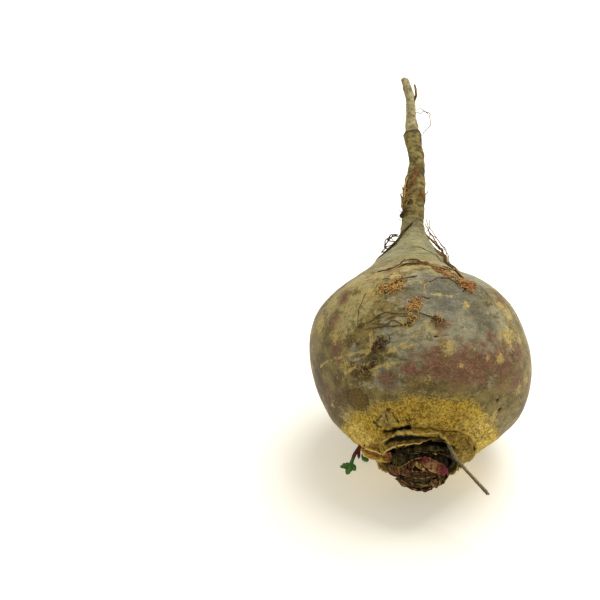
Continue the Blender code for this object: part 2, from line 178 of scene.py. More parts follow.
def shake(points, lump, seed):
    """Three noises at each point, to push it about with."""
    return np.stack([noise(points, lump, seed + k) for k in range(3)], axis=-1)


def lay_down(points):
    """Points in millimetres in the beet's frame, turned and moved to the part's frame, in metres."""
    tip = math.radians(ROOT_RISE - 90)
    turned = np.array(points, float)
    y, z = turned[..., 1].copy(), turned[..., 2].copy()
    turned[..., 1] = y * math.cos(tip) - z * math.sin(tip)
    turned[..., 2] = y * math.sin(tip) + z * math.cos(tip)
    return (turned + BODY_CENTRE) * MM


BELLY_ANGLES = np.radians(np.linspace(BELLY_FROM, BELLY_TO, BELLY_POINTS))
BELLY = [(BODY_RADIUS * math.cos(angle), BODY_RADIUS * math.sin(angle)) for angle in BELLY_ANGLES]
SMOOTH_OUTLINE = [(z, r) for r, z in [*CROWN_OUTLINE[-SHOULDER_POINTS:], *BELLY, *ROOT_OUTLINE]]


def outline_radius(along):
    """The round outline's radius at places along the axis, from the shoulder to the tip."""
    return curve_values(SMOOTH_OUTLINE, along)


def tuft_bump(turn, along, tuft_turn, tuft_along, size):
    """A round bump of height 1 on the skin at a tuft."""
    across = np.radians(turn_gap(turn, tuft_turn)) * math.sqrt(BODY_RADIUS**2 - tuft_along**2)
    return np.exp(-((across**2 + ((along - tuft_along) * 1.2) ** 2) / size**2))


def body_relief(turn, radius, along):
    """How far the skin stands off its round outline: lean, lobes, the two root furrows and the tuft scars."""
    angle = np.radians(turn)
    past_socket = np.where(along < 0, smoothstep(radius, 14, 24), 1)
    on_body = np.where(along > 0, 1 - smoothstep(along, 34, 50), smoothstep(radius, 14, 30))
    lean = curve_values(BODY_LEAN, along) * np.sin(angle)
    lobes = 0.55 * np.cos(2 * angle + 0.7) + 0.4 * np.cos(3 * angle - 1.1 + along * 0.02)
    relief = past_socket * lean + on_body * lobes
    for start in FURROWS:
        off = np.radians(turn_gap(turn, start + 1.1 * (along - 5))) * 40
        relief = relief - band(along, -36, -22, 30, 52) * 1.1 * bell(off / 6.5)
    for tuft in TUFTS:
        relief = relief + on_body * 0.9 * tuft_bump(turn, along, *tuft)
    return relief


def root_relief(turn, along):
    """Ring wrinkles, flutes and one knob of the taproot."""
    angle = np.radians(turn)
    wrinkle = 0.04 * np.sin(along * 2.1 + 0.8 * np.sin(angle)) + 0.09 * np.sin(along * 0.83 + 2 * angle)
    flute = 0.16 * np.cos(3 * angle + along * 0.05) + 0.1 * np.cos(5 * angle - along * 0.08)
    knob = 0.5 * bell((along - 83.5) / 2.6) * np.maximum(0, np.cos(angle + math.radians(85)))
    return band(along, 44, 58, 131, 133) * (wrinkle + flute + knob)


def crown_tear(turn, radius):
    """Wobble of the torn crown ledges, as outwards and along the axis."""
    angle = np.radians(turn)
    torn = band(radius, 11.8, 14, 21.5, 27)
    out = 0.55 * np.sin(2 * angle + 0.4 * radius) + 0.35 * np.sin(5 * angle - 0.7 * radius)
    rise = 0.4 * np.sin(3 * angle + 0.9 * radius) + 0.22 * np.sin(7 * angle - 1.3 * radius)
    return torn * out, torn * rise


def skin(turn, radius, along, lift=0):
    """Points of the skin: the outline turned round the bent axis, with its relief and lift added outwards."""
    turn, radius, along = np.broadcast_arrays(np.asarray(turn, float), radius, along)
    out, rise = crown_tear(turn, radius)
    reach = radius + out + body_relief(turn, radius, along) + root_relief(turn, along) + lift
    bend = smooth_curve(ROOT_BENDS, along.ravel()).reshape(along.shape + (2,))
    angle = np.radians(turn)
    x = bend[..., 0] + reach * np.sin(angle)
    y = bend[..., 1] - reach * np.cos(angle)
    return np.stack([x, y, along + rise], axis=-1)


def on_skin(turn, along, lift=0):
    """Points on or over the skin between the shoulder and the tip."""
    return skin(turn, outline_radius(along), np.asarray(along, float), lift)


def new_piece(name, points, faces, node, finish, **values):
    """A piece in a node's place, from points in the part's frame, with values, one number per point each."""
    made = bpy.data.meshes.new(name)
    made.from_pydata(points.reshape(-1, 3), [], faces)
    made.validate()
    made.shade_smooth()
    made.materials.append(finish)
    for key, numbers in values.items():
        layer = made.attributes.new(key, "FLOAT", "POINT")
        layer.data.foreach_set("value", np.ascontiguousarray(numbers, np.float32).ravel())
    piece = bpy.data.objects.new(name, made)
    bpy.context.scene.collection.objects.link(piece)
    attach(piece, "root")
    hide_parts(node)


def ring_quads(first, columns, rings):
    """Quads between rings of equal columns whose points start at first."""
    ring = np.arange(rings - 1)[:, None] * columns + first
    column = np.arange(columns)[None, :]
    after = (column + 1) % columns
    quads = np.stack([ring + column, ring + after, ring + columns + after, ring + columns + column], axis=-1)
    return quads.reshape(-1, 4).tolist()


def halving_triangles(first, columns):
    """Triangles from a ring of columns points, starting at first, to the next ring of half as many."""
    half = np.arange(columns // 2)
    after = (half + 1) % (columns // 2)
    a, b, c = first + 2 * half, first + 2 * half + 1, first + (2 * half + 2) % columns
    up, up_after = first + columns + half, first + columns + after
    triangles = ((a, b, up), (b, up_after, up), (b, c, up_after))
    return np.concatenate([np.stack(corners, axis=-1) for corners in triangles]).tolist()


class Finish:
    """Builds a material's nodes: each call adds nodes and returns the socket that they give."""

    def __init__(self, name):
        self.material = bpy.data.materials.new(name)
        self.material.use_nodes = True
        self.tree = self.material.node_tree
        self.shader = self.tree.nodes["Principled BSDF"]
        self.beet_place = None

    def put(self, kind, inputs=(), output=0, **settings):
        node = self.tree.nodes.new(kind)
        for key, value in settings.items():
            setattr(node, key, value)
        for key, value in dict(inputs).items():
            self.give(node.inputs[key], value)
        return node.outputs[output]

    def give(self, socket, value):
        if isinstance(value, bpy.types.NodeSocket):
            self.tree.links.new(value, socket)
        else:
            socket.default_value = value

    def place(self):
        """Object coordinates turned into the beet's frame, in metres."""
        if self.beet_place is None:
            where = self.put("ShaderNodeTexCoord", output="Object")
            offset = tuple(-BODY_CENTRE * MM)
            moved = self.put("ShaderNodeVectorMath", {0: where, 1: offset}, operation="ADD")
            turn = (math.radians(90 - ROOT_RISE), 0, 0)
            self.beet_place = self.put("ShaderNodeMapping", {"Vector": moved, "Rotation": turn})
        return self.beet_place

    def noise(self, lump, detail=3, roughness=0.55, distortion=0, stretch=None):
        """Noise from 0 to 1 with lumps about as wide as lump millimetres."""
        vector = self.place()
        if stretch:
            vector = self.put("ShaderNodeVectorMath", {0: vector, 1: stretch}, operation="MULTIPLY")
        inputs = {"Vector": vector, "Scale": 1000 / lump, "Detail": detail, "Roughness": roughness}
        return self.put("ShaderNodeTexNoise", {**inputs, "Distortion": distortion})

    def value(self, name):
        return self.put("ShaderNodeAttribute", output="Fac", attribute_name=name)

    def ramp(self, value, low, high, start=0, end=1):
        inputs = {"Value": value, "From Min": low, "From Max": high, "To Min": start, "To Max": end}
        return self.put("ShaderNodeMapRange", inputs, interpolation_type="SMOOTHSTEP")

    def swayed(self, name, *waves):
        """A value of the mesh pushed up and down by noises, each with its strength."""
        value = self.value(name)
        for wave, strength in waves:
            value = self.math("ADD", value, self.ramp(wave, 0.25, 0.75, -strength, strength))
        return value

    def math(self, operation, a, b):
        return self.put("ShaderNodeMath", {0: a, 1: b}, operation=operation)

    def mix(self, factor, a, b, blend="MIX"):
        colours = [(*c, 1) if isinstance(c, tuple) else c for c in (a, b)]
        inputs = {0: factor, 6: colours[0], 7: colours[1]}
        return self.put("ShaderNodeMix", inputs, output=2, data_type="RGBA", blend_type=blend)

    def blend(self, value, low, high, a, b):
        """Colour a at a value of low, colour b at high."""
        return self.mix(self.ramp(value, low, high), a, b)

    def layer(self, colour, value, low, high, share, tint):
        """Colour with tint over it, none at a value of low and a share of it at high."""
        return self.mix(self.ramp(value, low, high, 0, share), colour, tint)

    def bump(self, height, depth):
        """A bump whose height of 1 stands depth millimetres proud."""
        return self.put("ShaderNodeBump", {"Height": height, "Distance": depth * MM, "Strength": 1})

    def done(self, colour, roughness, normal=None, specular=0.4):
        self.give(self.shader.inputs["Base Color"], colour)
        self.give(self.shader.inputs["Roughness"], roughness)
        if normal is not None:
            self.give(self.shader.inputs["Normal"], normal)
        self.shader.inputs["Specular IOR Level"].default_value = specular
        return self.material


# Runs of even rings on the smooth part of the skin: (from, to, step, columns)
SKIN_RUNS = (
    (-32.8, 34.5, BODY_STEP, SKIN_COLUMNS),
    (34.5, 44, NECK_STEP, SKIN_COLUMNS),
    (44, 54, NECK_STEP, SKIN_COLUMNS // 2),
    (54, 133.9, TAPROOT_STEP, SKIN_COLUMNS // 4),
)
BROKEN_TIP = ((0.8, 134.1), (0.4, 133.9))

# Torn cracks of the corky crown: runs of (turn, radius), then width and depth in millimetres
CRACKS = (
    (
        ((-44, 23.1), (-35, 22.6), (-15, 22.1), (-2, 21.6), (18, 21.4), (36, 21.8), (54, 21.4)),
        0.32,
        0.6,
    ),
    (((-42, 22.5), (-34, 21.9), (-25, 21.6), (-12, 22)), 1.5, 2.6),
    (((-50, 23), (-42, 22.7), (-32, 22.3)), 0.4, 0.9),
    (
        (
            (-74, 18), (-66, 18.7), (-55, 19.2), (-28, 19.2), (-3, 18.8), (10, 18.6), (25, 17.6),
            (42, 15.6),
        ),
        0.85,
        1.7,
    ),
    (((2, 17.7), (14, 17.2), (24, 16.6), (34, 15.6), (46, 14.4)), 1.5, 0.8),
    (((-22, 24.7), (-15, 24.5), (-8, 24.8)), 0.22, 0.5),
    (((26, 24.2), (40, 23.4), (56, 24.8), (70, 24)), 0.25, 0.45),
    (((70, 22.4), (84, 21.6), (104, 22.8)), 0.4, 1),
    (((120, 23.4), (150, 22), (185, 22.8), (215, 22.2), (240, 23.6)), 0.5, 1.6),
    (((252, 22), (268, 23.4), (280, 22.6)), 0.4, 1),
    (((140, 26.4), (170, 25.6), (196, 26.6)), 0.3, 0.6),
)
# Crevices round the whole crown: (radius, width, depth)
CREVICE_RADII = ((16, 0.8, 3.2), (12.95, 0.6, 2))
# The pale torn lip over the crevice, as (turn, radius)
LIP_LINE = ((-72, 20), (10, 20), (18, 19.4), (26, 18.4), (36, 16), (54, 12.6))
# Marks on the skin as (turn, along, size)
TAN_MARKS = (
    (45.3, -4, 5.4), (17.4, -19.8, 1.7), (46, -3, 3.4), (44.6, -5.4, 3.4), (10.3, -14.2, 3.2),
    (64, -20.1, 2.4), (19.5, 4.2, 2.4), (43.5, 9.7, 3), (48.9, 6.6, 4.2), (57.4, -2.1, 2.4),
    (-52.4, -2.4, 3.4), (-29.4, 11.2, 2.8), (-39.2, -18.1, 3.2), (-31, -19.8, 2.2), (-49.3, -14.3, 2.6),
    (-22.9, -18.8, 1.8), (69.7, -15.3, 3), (60.2, -32.2, 5), (-66, 8, 5), (-72, -30, 6),
)
ROSE_MARKS = (
    (2, -20, 9), (4, -18, 4), (17, -20.5, 9), (22, -20, 4), (30, -18, 9.5), (38, -12, 4.5),
    (42, -15, 9.5), (33.1, -7.6, 3.6), (53, -9, 5), (-10, -21, 5), (-24, -23, 4), (58, -18, 5),
    (-46, 13, 3.6), (-52, 5, 3.6), (-76, -20, 5), (120, -14, 9), (150, 4, 7), (200, -18, 10),
    (236, 6, 7), (176, 22, 6),
)
GREY_MARKS = (
    (8, 6, 21), (22, -2, 20), (-8, -10, 14), (-26, -22, 7), (-40, -13, 5), (30, 20, 12), (150, 2, 18),
    (205, 6, 20), (180, -18, 12), (96, 18, 12),
)
SLATE_MARKS = (
    (6, 11.5, 7.5), (16, 9, 9), (-6, 8, 5), (10, 4, 6), (30, 12, 5), (24, 3, 6), (2, 17, 3.5),
    (30, -2, 5), (-36, -13, 4.5), (-24, -23, 5), (8, -25, 4), (190, 0, 9), (170, 16, 6),
)
PALE_MARKS = (
    (-32, 10, 8), (-41, 8, 8), (-36, 3, 5), (-46, 2, 7), (-10, 24, 6), (6, 22, 5), (-54, 12, 8),
    (-40, 20, 8), (-24, 22, 8), (-6, 30, 8), (14, 32, 5), (2, -7, 5), (-12, -4, 4), (60, 20, 8),
    (74, 2, 6), (130, 20, 9), (200, 28, 8), (250, 14, 8),
)
# Brown patches; those low on the left flank, from turn -57 to -88, are painted shade that darkens that flank
BROWN_MARKS_AND_FLANK_SHADE = (
    (-82, -12, 10), (-82, -26, 11), (-74, -33, 8), (-64, -33, 4), (-88, -36, 7), (-57, -24, 4.4),
    (-66, -24, 5), (-36, -19, 4.6), (-44, -18, 3.2), (-27, -12.4, 3.4), (-34, -13.6, 2.6),
    (-34.6, -2.2, 1.6), (-60, -18, 3), (60.7, -28.7, 1.4), (162, -20, 3), (222, -8, 3.4),
)
GREEN_MARKS = ((-48.6, -34.4, 1.2), (-48, -35.8, 1), (-45, -36.4, 0.7))
# A brown oval stain, healed oval scars, and patches on the taproot: (turn, along, size)
STAIN = (-50.6, -26.7, 4.9)
OVAL_SCARS = ((-37, -34.6, 3.6), (165, -33, 3), (248, -31, 2.4))
RUST_MARKS = (
    (2, 84.5, 2.2), (-10, 82, 2.6), (-24, 79, 1.8), (36, 74.5, 2), (-2, 87, 1.1), (-40, 77, 1.6),
    (-57, 74, 1.2), (26, 73.5, 1.6), (40, 98, 1.2), (-30, 112, 0.9), (20, 115, 0.9), (180, 70, 2),
    (150, 88, 1.8), (230, 98, 1.6),
)
# Holes and slits: (turn, along, size, depth)
PITS = (
    (-2.3, -40.6, 0.55, 0.8), (7.6, -40.5, 0.55, 0.8), (24, -40.4, 0.5, 0.6), (60.7, -28.7, 0.9, 1.1),
    (80.8, -34, 1, 1.6), (52, -27, 0.9, 0.9), (3.2, -9.8, 0.6, 0.5), (4.4, -9.9, 0.6, 0.5),
    (190, -10, 0.9, 1), (232, 14, 0.8, 0.9),
)
# Pale scratches and streaks, and dark lines round a scar: runs of (turn, along)
STREAKS = (
    ((-21.5, -14.5), (-15, -13.5), (-6.9, -12.7)),
    ((-20, -13), (-12, -11.6)),
    ((-71.1, -9.3), (-62.3, -9.9), (-51.5, -11.1), (-44.1, -11.6), (-36, -11.8), (-27.8, -11.8)),
    ((-33.8, -19.5), (-27.4, -18.4), (-15.7, -18.5)),
    ((-43.7, -14), (-34.9, -14.2), (-29.3, -10.3), (-30, -6)),
    ((-51.7, -17.6), (-40.4, -16.6), (-31.4, -17)),
    ((2, 8), (8, 8.4), (14, 8)),
    ((170, -4), (186, -6.5), (200, -4)),
    ((120, 10), (136, 12.5)),
    ((212, 16), (226, 14)),
)
DARK_LINES = (
    ((-46, -34.2), (-38, -33), (-33.5, -32.3), (-30, -32)),
    ((-32.6, -31.4), (-30.4, -32.2), (-28.4, -33.2)),
    ((-31.8, -32.6), (-29.2, -31.8)),
    ((-28.6, -33.4), (-27.4, -35.4), (-27, -36.4)),
    ((-36, -33.4), (-36.6, -35.4)),
    ((160, -33.6), (166, -31.4), (172, -33)),
    ((-31.8, -33), (-31, -32.6)),
)


def path_steps(points, step):
    """Points along the straight runs between points, at most step apart."""
    stops = [points[:1]]
    for start, end in zip(points[:-1], points[1:]):
        count = max(1, math.ceil(math.dist(start, end) / step))
        stops.append(start + (end - start) * (np.arange(1, count + 1) / count)[:, None])
    return np.concatenate(stops)


def even_rings(low, high, step):
    """Rings (radius, along) of the smooth outline, step apart along the skin, without the first."""
    fine = np.linspace(low, high, 4000)
    length = np.concatenate([[0], np.cumsum(np.hypot(np.diff(fine), np.diff(outline_radius(fine))))])
    stops = np.linspace(0, length[-1], math.ceil(length[-1] / step) + 1)[1:]
    along = np.interp(stops, length, fine)
    return np.stack([outline_radius(along), along], axis=-1)


def near_lines(place, runs, step, width):
    """1 on lines through runs of (turn, along) on the skin, and fading out past width."""
    nearest = np.full(place.shape[:-1], 1e9)
    for run in runs:
        line = path_steps(on_skin(*np.array(run).T), step)
        for start, end in zip(line[:-1], line[1:]):
            ahead = end - start
            share = np.clip(((place - start) @ ahead) / (ahead @ ahead), 0, 1)
            off = np.linalg.norm(place - start - share[..., None] * ahead, axis=-1)
            nearest = np.minimum(nearest, off)
    return bell(nearest / width)


def away_from(place, turn, along, size):
    """Distance of each place from a spot on the skin, in the spot's sizes."""
    return np.linalg.norm(place - on_skin(turn, along), axis=-1) / size


def marks(place, spots, ragged=0):
    """Soft spots (turn, along, size): 1 at the middle, fading past size, pushed about by ragged."""
    shade = np.zeros(place.shape[:-1])
    for spot in spots:
        shade = np.maximum(shade, bell(np.maximum(0, away_from(place, *spot) + ragged)))
    return shade


def wrapped(turn, across, lengthwise):
    """Places for noise that is stretched along the skin or round it, without a seam."""
    angle = np.radians(turn)
    return np.stack([across * np.sin(angle), across * np.cos(angle), lengthwise + 0 * turn], axis=-1)


def random_marks(seed, count, sizes):
    """Seeded spots (turn, along, size) all over the body."""
    draw = np.random.default_rng(seed)
    turns, alongs = draw.uniform(0, 360, count), draw.uniform(-26, 36, count)
    return list(zip(turns, alongs, draw.uniform(*sizes, count)))


def crown_ridges(turn, radius, small, middle):
    """Arcs of raised lines right of the middle, and fine upright ridges left of it, on the corky crown."""
    from_arcs = turn_gap(turn, 56)
    beside = bell(from_arcs / 22) * smoothstep(radius, 15, 17) * (1 - smoothstep(radius, 24, 27))
    arcs = beside * np.cos(4.2 * (radius + 0.03 * from_arcs) + 2 * small)
    zone = band(radius, 22.9, 24.4, 25.6 + middle, 28 + middle)
    zone = zone * np.exp(-np.clip(np.abs(turn_gap(turn, -27)) - 14, 0, None) / 4)
    return arcs, zone * (0.5 + 0.5 * np.cos(np.radians(turn * 136) + 2.5 * small))


def crown_tears(turn, radius, small, middle, notch):
    """How deep the crown is torn by notches, crevices and cracks, the painted shade in them, and where they
    close.
    """
    signed = turn_gap(turn, 0)
    closed = band(signed, 38, 52, 84, 100)
    depths = 0.45 * notch - 1.5 * closed * bell(radius - 16)
    dark = 0.55 * notch
    for middle_radius, width, depth in CREVICE_RADII:
        dip = bell((radius - middle_radius - 0.3 * small) / width) * (0.7 + 0.5 * middle) * (1 - closed)
        dark = np.maximum(dark, np.clip(dip * min(1, 0.4 + 0.5 * depth), 0, 1))
        depths = depths + depth * dip
    for stops, width, depth in CRACKS:
        turns, radii = np.array(stops).T
        gap = turn_gap(turn, turns[0]) % 360
        length = turns[-1] - turns[0]
        off = radius - curve_values(np.column_stack([turns - turns[0], radii]), gap) - 0.5 * small
        dip = band(gap, 0, 0.25 * length, 0.75 * length, length) * bell(off / width)
        dark = np.maximum(dark, dip * min(1, 0.25 + 0.55 * depth))
        depths = depths + depth * dip
    return depths, dark, closed


def skin_looks(turn, radius, along, place):
    """The fine relief of the skin in millimetres, and the numbers from 0 to 1 that its material reads."""
    wide, middle = noise(place, 16, 1), noise(place, 7, 2)
    small, fine, grain = noise(place, 3, 3), noise(place, 1.5, 4), noise(place, 0.8, 5)
    ragged = 0.3 * small + 0.2 * fine
    signed = turn_gap(turn, 0)
    crown = along < 0

    # The corky band, its ragged edge and its grain
    from_middle = turn_gap(turn, 8)
    edge = -30 + 0.9 * middle + 0.4 * small + 0.3 * fine - 2.2 * band(from_middle, 22, 55, 70, 110)
    edge = edge + 2.5 * smoothstep(np.abs(from_middle), 80, 130)
    cork = 1 - smoothstep(along, edge - 1.9, edge + 2.3)
    torn = band(radius, 12, 13, 19, 23) * crown
    run = 0.7 * (radius + along)
    radial = noise(wrapped(turn, 26, 0.22 * run), 1.5, 7)
    lapped = noise(wrapped(turn, 6, 1.2 * run), 1.5, 8)
    toothed = band(radius, 14, 17, 24, 29) * (0.5 + 0.5 * middle)
    on_cork = 0.25 + 0.1 * fine + 0.06 * grain + 0.2 * small + 0.4 * toothed * radial + 0.16 * lapped
    relief = cork * (1 - torn) * on_cork + torn * (0.55 * small + 0.3 * fine + 0.3 * radial)

    # Notches in the ledges, crevices and cracks, darkened with painted shade
    notches = noise(wrapped(turn, 26, 0.12 * run), 2.2, 12)
    above = smoothstep(radius, 21.8, 22.6) * (1 - smoothstep(radius, 24.6, 27 + middle))
    beside = np.maximum(bell(turn_gap(turn, -20) / 18), smoothstep(middle, 0, 0.4))
    notched = band(radius, 17.2, 18, 20.6, 21.4) + above * beside
    notch = notched * (1 - smoothstep(np.abs(notches), 0.02, 0.14))
    depths, crevice, closed = crown_tears(turn, radius, small, middle, notch)
    arcs, ridges = (crown * lines for lines in crown_ridges(turn, radius, small, middle))
    lip = bell((radius - curve_values(LIP_LINE, signed) + 0.25 * small) / 0.3)
    lip = lip * band(signed, -70, -55, 52, 60) * crown
    relief = relief - crown * depths + 0.3 * arcs - 0.3 * ridges + 0.3 * lip

    # The smooth body, the neck and the wrinkled taproot
    neck = smoothstep(along, 26, 40)
    taproot = smoothstep(along, 50, 62)
    lined, ringed = noise(wrapped(turn, 5, along), 1.5, 9), noise(wrapped(turn, 1.6, along), 1.3, 10)
    collar = band(along, 105.6, 106.6, 106.8, 107.6)
    on_body = 0.16 * wide + 0.1 * middle + 0.04 * small + 0.05 * lined * neck
    relief = relief + (1 - cork) * (1 - taproot) * on_body
    relief = relief + taproot * (0.05 * ringed + 0.1 * fine + 0.2 * small + 0.25 * collar)

    # Pits, tuft scars, healed scars, and lines
    crevice = crown * crevice
    # Pits sink in and are darkened with painted shade
    for *spot, depth in PITS:
        pit = bell(away_from(place, *spot))
        relief = relief - depth * pit
        crevice = np.maximum(crevice, pit)
    scar = np.max([tuft_bump(turn, along, *tuft[:2], 0.9 * tuft[2]) for tuft in TUFTS], axis=0)
    dark_line = near_lines(place + 0.3 * np.stack([small, fine, small], axis=-1), DARK_LINES, 1, 0.55)
    relief = relief + scar * (0.3 * small + 0.35 * fine) - 0.25 * dark_line
    ovals = [1 - smoothstep(away_from(place, *spot) + 0.15 * small, 0.6, 1.5) for spot in OVAL_SCARS]
    oval = np.max(ovals, axis=0)
    relief = relief + smoothstep(oval, 0.4, 0.9) * (0.5 * radial - 0.25)
    stain_off = away_from(place, *STAIN) + 0.08 * small

    more_tan = random_marks(21, 34, (1, 3)) + random_marks(22, 130, (0.35, 0.8))
    more_rose = random_marks(23, 30, (1.5, 5))
    return relief, {
        "cork": cork,
        # Painted shade in the crown's notches, crevices, cracks and pits, deeper ones darker, and the dark
        # lines round a scar
        "crevice": np.clip(np.maximum(crevice, 0.7 * dark_line), 0, 1),
        "ridged": np.maximum(ridges, 0.9 * np.maximum(-arcs, 0)),
        "ledge": smoothstep(radius, 12, 13) * (1 - smoothstep(radius + 0.6 * small, 21.4, 23.4)) * crown,
        # Painted shade in the crown's socket, under the leaf stubs
        "socket_shade": (1 - smoothstep(radius + 0.5 * small + 3.4 * closed * crown, 15.6, 16.9)) * crown,
        "lip": lip,
        "high": 0.5 + 0.9 * on_cork,
        "grey": marks(place, GREY_MARKS, 0.2 * middle) * (1 - cork),
        "rose": marks(place, [*ROSE_MARKS, *more_rose], ragged) * (1 - cork),
        "tan": marks(place, [*TAN_MARKS, *more_tan], ragged),
        "pale": marks(place, PALE_MARKS, ragged),
        "slate": marks(place, SLATE_MARKS, ragged),
        "cream": smoothstep(np.abs(turn_gap(turn, -12)) + 6 * middle, 24, 72),
        # brown patches, and painted shade low on the left flank
        "brown": marks(place, BROWN_MARKS_AND_FLANK_SHADE, ragged),
        "rust": marks(place, RUST_MARKS, 0.3 * fine + 0.3 * ringed),
        "oval": oval,
        "green": marks(place, GREEN_MARKS, ragged),
        "stain": 1 - smoothstep(stain_off, 0.85, 1.08),
        "stain_rim": bell((stain_off - 0.98) / 0.1),
        "streak": near_lines(place + 0.9 * np.stack([small, middle, wide], axis=-1), STREAKS, 3, 0.7),
        "neck": neck,
        "taproot": smoothstep(along + 1.5 * middle, 52, 68),
        "scar": scar,
        "lined": 0.5 + 0.5 * (ringed * taproot + lined * (1 - taproot)),
        "pale_tip": smoothstep(along, 104, 112),
        "collar": collar,
    }


def skin_piece(name, rings, blocks, finish):
    """The root's finer skin over blocks of rings (first, last, columns), with a fan over each end."""
    points, faces, looks, start = [], [], [], 0
    for number, (first, last, columns) in enumerate(blocks):
        around = np.arange(columns) * 360 / columns
        padded = rings[np.clip(np.arange(first - 1, last + 1), 0, len(rings) - 1)]
        turn, radius = np.meshgrid(around, padded[:, 0])
        along = np.meshgrid(around, padded[:, 1])[1]
        grid = skin(turn, radius, along)
        across = np.roll(grid, -1, axis=1) - np.roll(grid, 1, axis=1)
        outward = unit(np.cross(across[1:-1], grid[2:] - grid[:-2]))
        place = grid[1:-1]
        relief, values = skin_looks(turn[1:-1], radius[1:-1], along[1:-1], place)
        points.append((place + relief[..., None] * outward).reshape(-1, 3))
        looks.append({key: value.ravel() for key, value in values.items()})
        faces += ring_quads(start, columns, last - first)
        if number + 1 < len(blocks):
            faces += halving_triangles(start + columns * (last - first - 1), columns)
        start += columns * (last - first)
    for block, ring, way in ((0, 0, 1), (-1, start - blocks[-1][2], -1)):
        columns = blocks[block][2]
        points.append(np.concatenate(points)[ring : ring + columns].mean(axis=0)[None])
        looks.append({key: value[:1] for key, value in looks[block and len(blocks) - 1].items()})
        faces += [(ring + j, ring + (j + 1) % columns, start)[::way] for j in range(columns)]
        start += 1
    laid = lay_down(np.concatenate(points))
    laid[:, 2] = np.maximum(laid[:, 2], 0)
    values = {key: np.concatenate([part[key] for part in looks]) for key in looks[0]}
    new_piece(name, laid, faces, "beet_root", finish, **values)


